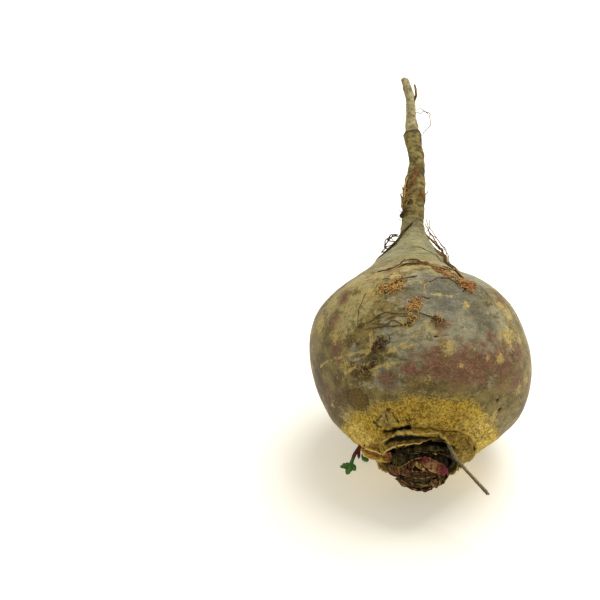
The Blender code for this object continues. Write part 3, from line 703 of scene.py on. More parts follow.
def skin_finish():
    """Mottled skin: grey-green over olive, rose and tan patches, a russet corky crown and a brown taproot."""
    f = Finish("beet_skin")
    cloud, mottle = f.noise(6.5, 6, 0.66, 0.5), f.noise(2, 5, 0.74, 0.2)
    grain, speck = f.noise(0.9, 3, 0.65), f.noise(0.42, 2, 0.6)
    flow = f.noise(5, 4, 0.65, 0.5, (1, 1, 2.2))
    fleck = f.noise(1.15, 3, 0.6)

    # The body: olive, with grey-green and slate over it, and patches
    olive = f.blend(cloud, 0.35, 0.65, (0.095, 0.072, 0.018), (0.25, 0.19, 0.06))
    olive = f.layer(olive, mottle, 0.48, 0.76, 0.6, (0.46, 0.35, 0.11))
    olive = f.layer(olive, mottle, 0.47, 0.3, 0.35, (0.05, 0.036, 0.01))
    grey = f.blend(flow, 0.35, 0.65, (0.18, 0.172, 0.108), (0.31, 0.292, 0.195))
    grey = f.layer(grey, mottle, 0.5, 0.76, 0.45, (0.42, 0.37, 0.2))
    grey = f.layer(grey, mottle, 0.45, 0.3, 0.25, (0.09, 0.08, 0.05))
    slate = f.blend(flow, 0.35, 0.65, (0.085, 0.084, 0.056), (0.165, 0.156, 0.102))
    grey = f.layer(grey, f.swayed("slate", (flow, 0.3)), 0.15, 0.75, 0.95, slate)
    rose = f.blend(grain, 0.38, 0.62, (0.125, 0.061, 0.037), (0.235, 0.098, 0.058))
    rose = f.layer(rose, flow, 0.55, 0.4, 0.5, (0.09, 0.052, 0.034))
    stain = f.mix(mottle, (0.05, 0.026, 0.004), (0.165, 0.096, 0.012))
    colour = f.blend(f.swayed("grey", (flow, 0.5), (mottle, 0.15)), 0.25, 0.75, olive, grey)
    colour = f.layer(colour, cloud, 0.42, 0.28, 0.35, (0.055, 0.042, 0.018))
    patches = (
        (f.swayed("pale", (mottle, 0.5), (flow, 0.3)), 0.15, 0.95, 0.75, (0.46, 0.385, 0.165)),
        (f.swayed("rose", (mottle, 0.3), (cloud, 0.3), (grain, 0.2)), 0.05, 1.15, 0.95, rose),
        # brown patches, and painted shade low on the left flank
        (f.swayed("brown", (mottle, 0.3)), 0.25, 0.85, 0.85, (0.07, 0.041, 0.008)),
        (f.value("stain"), 0.1, 0.9, 0.94, stain),
        (f.swayed("stain_rim", (mottle, 0.4)), 0.3, 1, 0.9, (0.035, 0.02, 0.006)),
        (speck, 0.58, 0.72, 0.3, (0.44, 0.35, 0.15)),
        (f.swayed("tan", (mottle, 0.45), (grain, 0.25)), 0.3, 1.15, 0.8, (0.5, 0.375, 0.115)),
        (f.swayed("streak", (mottle, 0.4)), 0.25, 0.85, 0.8, (0.5, 0.39, 0.13)),
    )
    for patch in patches:
        colour = f.layer(colour, *patch)

    # The neck and the taproot
    neck = f.blend(f.value("lined"), 0.2, 0.8, (0.21, 0.2, 0.1), (0.355, 0.33, 0.175))
    neck = f.layer(neck, cloud, 0.5, 0.7, 0.5, (0.2, 0.19, 0.12))
    colour = f.layer(colour, f.value("neck"), 0.1, 0.9, 0.85, neck)
    bark = f.blend(f.value("lined"), 0.25, 0.75, (0.085, 0.064, 0.02), (0.24, 0.195, 0.068))
    bark = f.layer(bark, mottle, 0.48, 0.62, 0.75, (0.34, 0.26, 0.085))
    bark = f.layer(bark, cloud, 0.52, 0.36, 0.75, (0.05, 0.034, 0.01))
    tip = f.blend(mottle, 0.35, 0.6, (0.17, 0.13, 0.055), (0.42, 0.37, 0.2))
    colour = f.mix(f.value("taproot"), colour, f.mix(f.value("pale_tip"), bark, tip))
    rust = f.blend(mottle, 0.4, 0.6, (0.03, 0.014, 0.006), (0.24, 0.105, 0.022))
    colour = f.layer(colour, f.swayed("rust", (mottle, 0.4)), 0.3, 0.9, 0.85, rust)
    colour = f.layer(colour, f.swayed("collar", (mottle, 0.3)), 0.35, 0.95, 0.75, (0.04, 0.024, 0.01))

    # The corky crown
    high = f.ramp(f.swayed("high", (grain, 0.4), (speck, 0.3)), 0.15, 1.1)
    russet = f.mix(high, (0.17, 0.098, 0.011), (0.5, 0.335, 0.046))
    brown_russet = f.mix(high, (0.11, 0.06, 0.009), (0.3, 0.18, 0.025))
    cream = f.mix(high, (0.29, 0.2, 0.038), (0.74, 0.55, 0.135))
    ledge = f.blend(mottle, 0.4, 0.6, (0.105, 0.06, 0.009), (0.31, 0.2, 0.03))
    olive_russet = f.mix(high, (0.15, 0.1, 0.022), (0.34, 0.25, 0.07))
    tones = (
        (cloud, 0.45, 0.62, 0.55, brown_russet),
        (f.swayed("cream", (cloud, 0.4)), 0.3, 1, 0.85, cream),
        (flow, 0.52, 0.7, 0.5, (0.5, 0.37, 0.1)),
        (flow, 0.47, 0.32, 0.5, (0.16, 0.095, 0.016)),
        (f.noise(1, 2, 0.5, 0, (1, 1, 0.6)), 0.45, 0.3, 0.55, (0.12, 0.07, 0.014)),
        (f.value("ridged"), 0.35, 0.9, 0.75, (0.07, 0.045, 0.012)),
        (f.value("ledge"), 0.2, 0.9, 0.75, ledge),
        (f.swayed("cork", (flow, 0.1)), 1, 0.7, 0.65, olive_russet),
    )
    for tone in tones:
        russet = f.layer(russet, *tone)
    colour = f.layer(colour, f.swayed("cork", (mottle, 0.25), (grain, 0.25)), 0.25, 0.75, 1, russet)

    # Scars, the torn lip, and painted shade in the crown's socket, crevices, cracks and pits
    oval = f.blend(mottle, 0.35, 0.65, (0.13, 0.08, 0.022), (0.42, 0.34, 0.14))
    scar = f.blend(mottle, 0.4, 0.6, (0.06, 0.03, 0.01), (0.3, 0.18, 0.05))
    colour = f.layer(colour, f.value("oval"), 0.3, 0.9, 0.55, oval)
    colour = f.layer(colour, f.value("green"), 0.35, 0.8, 0.9, (0.035, 0.048, 0.013))
    colour = f.layer(colour, f.swayed("scar", (mottle, 0.4)), 0.45, 1, 0.75, scar)
    colour = f.layer(colour, f.value("lip"), 0.3, 0.9, 0.75, (0.62, 0.46, 0.12))
    # The crown's socket under the stubs, darkened as painted shade
    socket_shade = f.blend(mottle, 0.45, 0.68, (0.014, 0.01, 0.005), (0.16, 0.115, 0.035))
    colour = f.mix(f.value("socket_shade"), colour, socket_shade)
    # Painted shade in crevices, cracks and pits
    colour = f.layer(colour, f.value("crevice"), 0.25, 0.75, 1, (0.008, 0.005, 0.003))

    # Flecks and grit
    bare_skin = f.ramp(f.math("ADD", f.value("cork"), f.value("taproot")), 0.5, 0.1)
    red_flecks = f.math("MULTIPLY", bare_skin, f.ramp(fleck, 0.58, 0.68, 0, 0.3))
    colour = f.mix(red_flecks, colour, (0.2, 0.1, 0.055))
    green_flecks = f.math("MULTIPLY", bare_skin, f.ramp(fleck, 0.42, 0.32, 0, 0.35))
    colour = f.mix(green_flecks, colour, (0.13, 0.125, 0.05))
    grit = f.ramp(f.math("ADD", f.ramp(speck, 0.3, 0.7, 0, 0.5), f.ramp(grain, 0.3, 0.7, 0, 0.5)), 0, 1)
    grit = f.mix(grit, (0.74, 0.74, 0.74), (1.24, 1.24, 1.24))
    colour = f.mix(f.ramp(f.value("crevice"), 0.5, 0.2), colour, grit, "MULTIPLY")
    rough = f.ramp(f.value("cork"), 0, 1, 0.52, 0.9)
    rough = f.math("MAXIMUM", rough, f.ramp(f.value("taproot"), 0, 1, 0, 0.75))
    rough = f.math("ADD", rough, f.ramp(mottle, 0.3, 0.7, -0.08, 0.1))
    bare = f.mix(f.value("taproot"), (0.25, 0.25, 0.25), (0.8, 0.8, 0.8))
    depth = f.mix(f.value("cork"), bare, (1, 1, 1))
    height = f.mix(0.5, f.mix(1, grain, depth, "MULTIPLY"), f.mix(1, speck, depth, "MULTIPLY"))
    return f.done(colour, rough, f.bump(height, 0.35), 0.15)


def unit(vectors):
    """Vectors at a length of 1."""
    return vectors / np.maximum(np.linalg.norm(vectors, axis=-1, keepdims=True), 1e-9)


ledge_rings = path_steps(np.array(CROWN_OUTLINE[:LEDGE_POINTS]), LEDGE_STEP)
smooth_runs = [even_rings(*run[:3]) for run in SKIN_RUNS]
skin_rings = np.concatenate([ledge_rings, *smooth_runs, np.array(BROKEN_TIP)])
ends = np.cumsum([len(ledge_rings)] + [len(run) for run in smooth_runs])
ends[-1] += len(BROKEN_TIP)
# The ledges and the first two runs have equal columns, and each later run has half those before it
skin_blocks = [(0, ends[2], SKIN_COLUMNS)]
skin_blocks += [(ends[k], ends[k + 1], SKIN_RUNS[k][3]) for k in range(2, len(SKIN_RUNS))]
skin_piece("beet_root_skin", skin_rings, skin_blocks, skin_finish())


def lofted(grid):
    """Points and faces of a grid of rings (rings, columns, 3), closed round, with a fan over each end."""
    rings, columns = grid.shape[:2]
    last = (rings - 1) * columns
    points = np.concatenate([grid.reshape(-1, 3), grid[:1].mean(axis=1), grid[-1:].mean(axis=1)])
    faces = ring_quads(0, columns, rings)
    faces += [((j + 1) % columns, j, rings * columns) for j in range(columns)]
    faces += [(last + j, last + (j + 1) % columns, rings * columns + 1) for j in range(columns)]
    return points, faces


def round_turns(columns):
    """Angles of even columns round a ring, in radians."""
    return 2 * np.pi * np.arange(columns) / columns


def frames(route, face):
    """Directions ahead, across and upwards at each point of a route, whose upward way is near face."""
    ahead = unit(np.gradient(route, axis=0))
    face = np.broadcast_to(np.asarray(face, float), route.shape)
    upwards = unit(face - ahead * (face * ahead).sum(-1, keepdims=True))
    return ahead, np.cross(ahead, upwards), upwards


def swept(route, across, upwards, side, high):
    """A grid of rings along a route, whose columns stand side across it and high over it."""
    return route[:, None] + side[..., None] * across[:, None] + high[..., None] * upwards[:, None]


def end_values(rows, first, last):
    """A grid's values in a row, with those of the points in the middle of its two ends."""
    return np.concatenate([np.ravel(rows), [first, last]])


def tube(route, radii, sides=6):
    """A round tube along a route."""
    _, across, upwards = frames(route, route * (1, 1, 0) + (0.003, 0.001, 0))
    turns = round_turns(sides)
    radii = np.broadcast_to(radii, len(route))[:, None]
    return lofted(swept(route, across, upwards, radii * np.cos(turns), radii * np.sin(turns)))


def bundle(name, parts, node, finish, **values):
    """One piece out of parts (points, faces, ...); each value has a number or an array for each part."""
    points, faces, start = [], [], 0
    for part_points, part_faces, *_ in parts:
        points.append(part_points)
        faces += [tuple(start + index for index in face) for face in part_faces]
        start += len(part_points)
    numbers = {
        key: np.concatenate([np.broadcast_to(value, len(part)) for value, part in zip(shades, points)])
        for key, shades in values.items()
    }
    new_piece(name, lay_down(np.concatenate(points)), faces, node, finish, **numbers)


def taper(count, thickness):
    """Radii along a root hair, thinner at both ends."""
    share = np.linspace(0, 1, count)
    return thickness * np.minimum(1, np.minimum(0.35 + 6 * share, 0.12 + 5 * (1 - share)))


def root_hair(run, radius, seed):
    """A tapering rootlet through (turn, along[, height]), which keeps close to the skin."""
    stops = np.array([(*stop, 0)[:3] for stop in run], float)
    length = np.linalg.norm(np.diff(on_skin(*stops.T), axis=0), axis=1).sum()
    turn, along, high = finer(stops, max(6, int(length / 0.45))).T
    route = on_skin(turn, along, high + 0.12)
    route = route + 0.3 * shake(route, 2.6, seed)
    return tube(route, taper(len(route), radius), 5)


# The thick side roots of the solids: runs of (turn, along, height over the skin)
SIDE_ROOTS = (
    (
        (22, 16, -0.6), (21, 22, 0.6), (24, 30, 0.8), (32, 38, 1.2), (48, 46, 1.5), (64, 52, 1.2),
        (74, 58, -0.6),
    ),
    ((15, 21.5, -0.6), (9, 23, 0.6), (0, 25.4, 0.6), (-10, 26, 0.6), (-20, 22.5, -0.6)),
    ((5, 61.5, -0.7), (-28, 58.5, 0.5), (-54, 55, 0.6), (-70, 49, 0.7), (-82, 42, -0.6)),
    ((-46, 84, -0.6), (-60, 78, 0.5), (-66, 71, 0.5), (-70, 64, -0.6)),
    ((96, 123, -0.8), (92, 127, 1), (84, 131, 1.9)),
    ((168, 49, -0.6), (178, 42, 0.7), (190, 34, 0.7), (202, 27, -0.7)),
)
SIDE_ROOT_RADIUS = 0.62
# Each side root is a few strands that twist round one another
SIDE_ROOT_STRANDS = 4
STRAND_RADIUS = 0.3
# Shade of each side root, from dark to orange
SIDE_ROOT_SHADES = (0.24, 0.26, 0.1, 0.3, 0.25, 0.3)

# Rootlets: (radius, shade, run of (turn, along[, height]))
ROOTLETS = (
    (
        0.2,
        0.25,
        (
            (-7.8, -4.6), (-12.2, -4.7), (-15.7, -2.9), (-18.3, -2.8), (-20.4, -3.7), (-25.8, -3),
            (-31.6, -1.5),
        ),
    ),
    (0.22, 0.15, ((-7.5, -5.3), (-10, -5), (-13.6, -5.1), (-18, -4.9), (-25, -4.4), (-31.9, -4.1))),
    (0.16, 0.2, ((-9, -2.2), (-11.5, -1.4), (-15.6, -1.1), (-18.7, -1.5), (-21.5, -1.7))),
    (
        0.18,
        0.2,
        (
            (-9.7, -0.8), (-13.2, -0.3), (-17.7, 0.2), (-20.4, 1), (-23.2, 0.6), (-27.6, -1),
            (-31.6, -1.4),
        ),
    ),
    (0.2, 0.15, ((3.5, -3.4), (-0.2, -1.2), (-4.5, -0.1))),
    (0.2, 0.15, ((-4.7, 6.3), (-2.6, 6.8), (0.1, 6.1), (1.9, 7))),
    (0.1, 0.4, ((-11.9, 16.7), (-14.3, 20), (-14.8, 24.1), (-13.9, 28.1))),
    (0.36, 0.15, ((-14, 14.8), (-9.5, 16), (-5.9, 16.3), (-4, 17.4))),
    (
        0.3,
        0.12,
        ((17.9, 13.1), (15.5, 15.3), (12, 16.5), (7.9, 16.4), (3.4, 14.6), (0, 13.1), (-1, 10.9)),
    ),
    (0.2, 0.7, ((3.4, 14.6), (0, 13.1), (-1.4, 11.4), (-1, 9.4))),
    (0.14, 0.2, ((-23, 16.7), (-21, 16.9), (-18.5, 16))),
    (0.2, 0.15, ((-28.6, 45.1), (-14.3, 43.9), (1.2, 42.2), (9.5, 40.5), (16.9, 37.8), (22, 33))),
    (
        0.3,
        0.12,
        (
            (-32.1, 23.1), (-23.8, 23), (-16.8, 26.4), (-15.6, 31.8), (-6.5, 32.1), (-1.1, 28.8),
            (4.1, 31.1),
        ),
    ),
    (0.24, 0.4, ((-12.6, 25.5), (-7.1, 24.2), (-1.6, 24.9), (1.5, 22.6), (7.8, 20.5))),
    (0.18, 0.1, ((-21.1, -11.3), (-19.6, -10), (-19.8, -7.7))),
    (0.12, 0.2, ((-27.1, 15.8), (-31.5, 11.5), (-35.1, 5.1), (-36.4, -0.5), (-32.6, -4.2))),
    (0.16, 0.6, ((-28.7, -4.9), (-28.4, -10.5), (-31.6, -13.9))),
    (0.14, 0.1, ((-32, -1.5), (-34, -3), (-35.5, -2.2), (-37, -4))),
    (0.26, 0.2, ((20, 24), (24, 32, 0.6), (32, 41, 1.8), (46, 50, 2.6), (66, 58, 1.6), (76, 64))),
    (0.2, 0.3, ((24, 26), (30, 34, 1.4), (42, 44, 3.2), (60, 52, 3.4), (78, 60, 1))),
    (0.16, 0.2, ((34, 36), (50, 44, 2.2), (70, 54, 3.4), (84, 62, 1.6), (88, 68))),
    (0.14, 0.15, ((74, 58), (80, 61, 2.2), (82, 65, 2.6))),
    (
        0.17,
        0.22,
        (
            (80, 119, -0.1), (85, 119.4, 1.6), (88, 118.2, 4.4), (90, 116.6, 6), (90, 112, 5.4),
            (88, 107.6, 1.2), (85, 106, -0.2),
        ),
    ),
    (0.17, 0.22, ((84, 117.8, -0.1), (86, 117.2, 1.8), (88, 118.4, 3.4), (90, 116.2, 6.2))),
    (0.2, 0.15, ((92, 76.5, -0.2), (92, 77.6, 0.9), (94, 78.6, 1.2))),
    (0.16, 0.15, ((88, 56, -0.2), (90, 57, 1.4), (86, 59.5, 2))),
    (0.12, 0.3, ((-86, 78, -0.2), (-88, 80, 0.8), (-90, 83, 1.6))),
    (0.12, 0.2, ((-84, 64, -0.2), (-86, 64.6, 0.9), (-84, 65.4, 1.4))),
    (0.1, 0.4, ((-88, 116, -0.2), (-90, 116.6, 0.9))),
    (0.1, 0.4, ((-88, 106, -0.2), (-90, 106.4, 0.9))),
    (
        0.3,
        0.06,
        (
            (-66, 55), (-80, 56.5, 2), (-88, 55.5, 3.8), (-92, 53.5, 4.4), (-88, 51.6, 3.2),
            (-80, 52.6, 0.8),
        ),
    ),
    (0.27, 0.05, ((-72, 53), (-82, 53.8, 2.4), (-90, 55.6, 4.6), (-86, 57.6, 3.2), (-78, 56.4, 0.8))),
    (
        0.25,
        0.1,
        ((-74, 51), (-86, 50.5, 2), (-92, 52, 3.8), (-90, 54.8, 5.2), (-84, 56, 3.8), (-80, 53.6, 1.4)),
    ),
    (0.27, 0.06, ((-70, 49), (-82, 48.5, 1.8), (-90, 49.8, 3.4), (-86, 52, 2.2))),
    (0.22, 0.1, ((-76, 57), (-86, 57.6, 2.4), (-92, 56, 3.8))),
    (0.14, 0.1, ((-70, 74), (-80, 75, 0.8), (-88, 77.4, 1.6))),
    (0.14, 0.1, ((-70, 68), (-80, 68, 1), (-88, 69.6, 1.8))),
    (0.14, 0.2, ((190, 34), (184, 26), (176, 22), (170, 14))),
    (0.16, 0.2, ((196, 12), (204, 9), (214, 10), (222, 7))),
    (0.14, 0.2, ((196, 10), (206, 5), (218, 4))),
    (0.14, 0.2, ((172, -6), (164, -8), (156, -5), (148, -7))),
    (0.16, 0.2, ((172, -4), (166, 2), (160, 4))),
    (0.14, 0.2, ((214, 24), (222, 28), (226, 34), (230, 40))),
    (0.14, 0.2, ((120, 40), (140, 42), (156, 44), (168, 49))),
)
# Tangles: (turn, along, size, hairs, hair length, radius, heading in degrees and how far it strays, shades)
TANGLES = (
    (23, 14.2, 2.6, 70, 5, 0.15, 0, 180, (0.7, 1)),
    (23, 14.2, 2.4, 14, 5, 0.15, 0, 180, (0, 0.3)),
    (20, 17, 1.8, 30, 5, 0.14, -120, 60, (0.4, 0.9)),
    (-18, 11, 2.8, 100, 5, 0.16, 40, 120, (0.45, 0.85)),
    (-18, 11, 2.8, 20, 5, 0.15, 40, 120, (0, 0.3)),
    (-14, 13.8, 1.8, 34, 4, 0.15, 40, 50, (0.1, 0.85)),
    (-7, 1.8, 2, 44, 5, 0.16, 90, 60, (0.4, 0.85)),
    (-8.4, -3.4, 1.5, 30, 5, 0.16, 120, 70, (0.1, 0.7)),
    (-4.6, 4.2, 1.2, 18, 3.4, 0.15, 60, 90, (0.6, 0.95)),
    (4.3, -3.2, 1.6, 40, 4, 0.15, 0, 180, (0, 0.55)),
    (-26, -12.6, 2, 50, 3.4, 0.15, 60, 120, (0, 0.4)),
    (-24.4, -10.4, 1.2, 16, 3, 0.15, 60, 60, (0, 0.35)),
    (-39.6, -18.7, 3, 40, 2.8, 0.14, 0, 180, (0, 0.5)),
    (-33, -18.2, 2, 24, 3, 0.14, 60, 60, (0, 0.45)),
    (-26.5, 9.5, 2, 16, 3, 0.12, 90, 180, (0.4, 0.65)),
    (-76, 50.5, 2.6, 60, 4.4, 0.16, 0, 180, (0, 0.25)),
    (-66, 72, 2, 30, 8, 0.14, 90, 18, (0.1, 0.6)),
    (-68, 66, 1.6, 34, 5, 0.16, 90, 40, (0, 0.4)),
    (-70, 77, 1.2, 14, 4, 0.14, 100, 40, (0, 0.5)),
    (196, 12, 2.4, 60, 4.4, 0.15, 0, 180, (0.1, 0.9)),
    (172, -6, 2, 50, 4, 0.15, 0, 180, (0.1, 0.8)),
    (214, 24, 2, 40, 4, 0.15, 0, 180, (0.1, 0.9)),
)
# Belts of fibres along a run of (turn, along): (half width, fibres, fibre length, shades, run)
BELTS = (
    (
        1.5,
        70,
        7,
        (0.15, 1),
        ((3.8, 25.5), (7.3, 22), (12.2, 20), (17.2, 18.4), (20.6, 15.9), (25.1, 13.9)),
    ),
    (1, 34, 6, (0.1, 0.55), ((7.8, 24), (14, 24), (20, 24.5), (24, 31))),
    (0.8, 30, 8, (0.1, 0.5), ((22, 27.4), (28, 36.5), (36.3, 46.4))),
    (0.6, 14, 6, (0.1, 0.5), ((-16, 29), (-8, 30.5), (-1, 28), (4, 27))),
    (0.5, 12, 7, (0.4, 0.9), ((-50, 83), (-62, 76), (-68, 68))),
)


def tangle(turn, along, size, hairs, length, radius, heading, stray, shades, draw):
    """Curly hairs (points, faces, shade) that start round a place on the skin."""
    parts = []
    reach = float(outline_radius(along))
    for _ in range(hairs):
        steps = max(6, int(draw.uniform(0.5, 1) * length / 0.4))
        bend = draw.choice((-1, 1)) * draw.uniform(0.1, 0.5)
        start = math.radians(heading + draw.uniform(-stray, stray))
        way = start + (bend + draw.normal(0, 0.22, steps)).cumsum()
        start = draw.normal(0, 0.5 * size, 2)
        across = start[0] + 0.4 * np.cos(way).cumsum()
        ahead = start[1] + 0.4 * np.sin(way).cumsum()
        lift = draw.uniform(0, 0.9) * np.sin(np.linspace(0, np.pi, steps)) + draw.uniform(0.05, 0.4)
        route = on_skin(turn + np.degrees(across / reach), along + 0.8 * ahead, lift)
        hair = tube(route, taper(steps, radius * draw.uniform(0.7, 1.2)), 4)
        parts.append((*hair, draw.uniform(*shades)))
    return parts


def belt(half_width, fibres, length, shades, run, draw):
    """Fibres (points, faces, shade) that run side by side along a run on the skin."""
    parts = []
    stops = np.array(run)
    total = np.linalg.norm(np.diff(on_skin(*stops.T), axis=0), axis=1).sum()
    table = np.column_stack([np.linspace(0, 1, len(stops)), stops])
    for _ in range(fibres):
        share = min(1, length * draw.uniform(0.5, 1.1) / total)
        start = draw.uniform(0, 1 - share)
        steps = max(6, int(share * total / 0.45))
        turn, along = smooth_curve(table, np.linspace(start, start + share, steps)).T
        drift = draw.normal(0, 0.5)
        drift = drift + 0.5 * np.sin(np.linspace(0, draw.uniform(2, 7), steps) + draw.uniform(0, 6))
        side = half_width * drift
        lift = draw.uniform(0.05, 0.7) + 0.25 * np.sin(np.linspace(0, draw.uniform(3, 9), steps))
        reach = outline_radius(along)
        route = on_skin(turn + np.degrees(0.5 * side / reach), along + 0.85 * side, lift)
        fibre = tube(route, taper(steps, draw.uniform(0.1, 0.2)), 4)
        parts.append((*fibre, draw.uniform(*shades)))
    return parts


def thick_side_root(number, run):
    """Strands (points, faces, shade) that twist round a side root's line, inside its solid's thickness."""
    length = np.linalg.norm(np.diff(on_skin(*np.array(run).T), axis=0), axis=1).sum()
    route = on_skin(*finer(run, int(length / 0.4)).T)
    _, across, upwards = frames(route, route * (1, 1, 0))
    share = np.linspace(0, 1, len(route))
    parts = []
    for k in range(SIDE_ROOT_STRANDS):
        angle = 2 * np.pi * k / SIDE_ROOT_STRANDS + share * length * 0.35 + 0.6 * number
        off = (SIDE_ROOT_RADIUS - STRAND_RADIUS) * (1 - 0.25 * share)[:, None]
        strand = route + off * (np.cos(angle)[:, None] * across + np.sin(angle)[:, None] * upwards)
        strand = strand + 0.12 * shake(strand, 2, 30 + k)
        radii = STRAND_RADIUS * (1.05 - 0.3 * share) * (1 + 0.2 * noise(strand, 1.2, 40 + k))
        parts.append((*tube(strand, radii, 8), SIDE_ROOT_SHADES[number] + 0.12 * (k - 1.5)))
    return parts


def root_finish():
    """Dry root hairs, from near black to orange by their shade."""
    f = Finish("root_hairs")
    shade, grain = f.value("shade"), f.noise(0.7)
    dark = f.blend(shade, 0, 0.35, (0.02, 0.013, 0.006), (0.14, 0.07, 0.022))
    light = f.blend(shade, 0.6, 1, (0.62, 0.4, 0.12), (0.42, 0.11, 0.035))
    colour = f.blend(shade, 0.3, 0.55, dark, light)
    colour = f.layer(colour, grain, 0.45, 0.7, 0.5, f.mix(shade, (0.06, 0.04, 0.02), (0.55, 0.36, 0.14)))
    return f.done(colour, 0.75, f.bump(grain, 0.1), 0.3)


hair_finish = root_finish()
hair_draw = np.random.default_rng(5)
strands = [strand for number, run in enumerate(SIDE_ROOTS) for strand in thick_side_root(number, run)]
rootlets = [(*root_hair(run, radius, 50 + k), shade) for k, (radius, shade, run) in enumerate(ROOTLETS)]
tufts = [hair for values in TANGLES for hair in tangle(*values, hair_draw)]
tufts += [fibre for values in BELTS for fibre in belt(*values, hair_draw)]
for name, hairs in (("side_roots", strands), ("rootlets", rootlets), ("root_hair_tufts", tufts)):
    bundle(name, hairs, "beet_root", hair_finish, shade=[shade for _, _, shade in hairs])

# Thin torn rims of old leaf bases on the ledges: (from turn, to turn, radius, foot, top, thickness)
RIMS = (
    (-84, 4, 17.3, -41.8, -43.5, 0.9), (-96, -62, 14.5, -43.2, -44.9, 0.75),
    (56, 96, 14.4, -43, -45.8, 0.7), (74, 150, 16.9, -41.8, -44.4, 0.8),
    (130, 236, 15.6, -42, -45.4, 0.8), (170, 262, 18.4, -41, -43.4, 0.9),
    (90, 150, 13.2, -43, -46.4, 0.7), (150, 250, 12.8, -43, -46.2, 0.7),
)
# Leaf stubs as in the solids: rings of (count, foot radius, foot along, top radius, top along)
STUB_RINGS = ((7, 8.5, -45.2, 8.6, -50.8), (5, 5.4, -46.5, 5.2, -52.8), (3, 2.2, -48, 1.8, -54))
STUB_WIDTH = 8
STUB_THICKNESS = 2.2
STUB_TAPER = 0.24
STUB_SPREAD = 1.9
STUB_CURL = 0.075
STUB_UNEVENNESS = 0.7
# How much further down the stubs reach on the underside, which starts at this turn from the middle
UNDERSIDE_REACH = 1.2
UNDERSIDE_FROM_TURN = 96
UNDERSIDE_FROM_RADIUS = 1
# The dark core that the stubs close over: (radius, along)
STUB_CORE_OUTLINE = (
    (1, -52.2), (5, -51.6), (7.6, -50.2), (9.4, -48.4), (10.2, -46.4), (10.4, -45), (10.2, -42.4),
    (9.2, -41.3),
)
CORE_MIDDLE_X = -1.8
CORE_WIDENING = 1.08
# Papery blades between the stubs: how many, and their seed
PAPERY_BLADES = 14
BLADE_SEED = 8
BUNCH_MIDDLE = np.array((-2.2, 0, -44.6))
# Where the magenta leaf base has pale specks
SPECKLED_AT = np.array((2, -9, -50.2))
SPECKLED_SIZE = 3.1
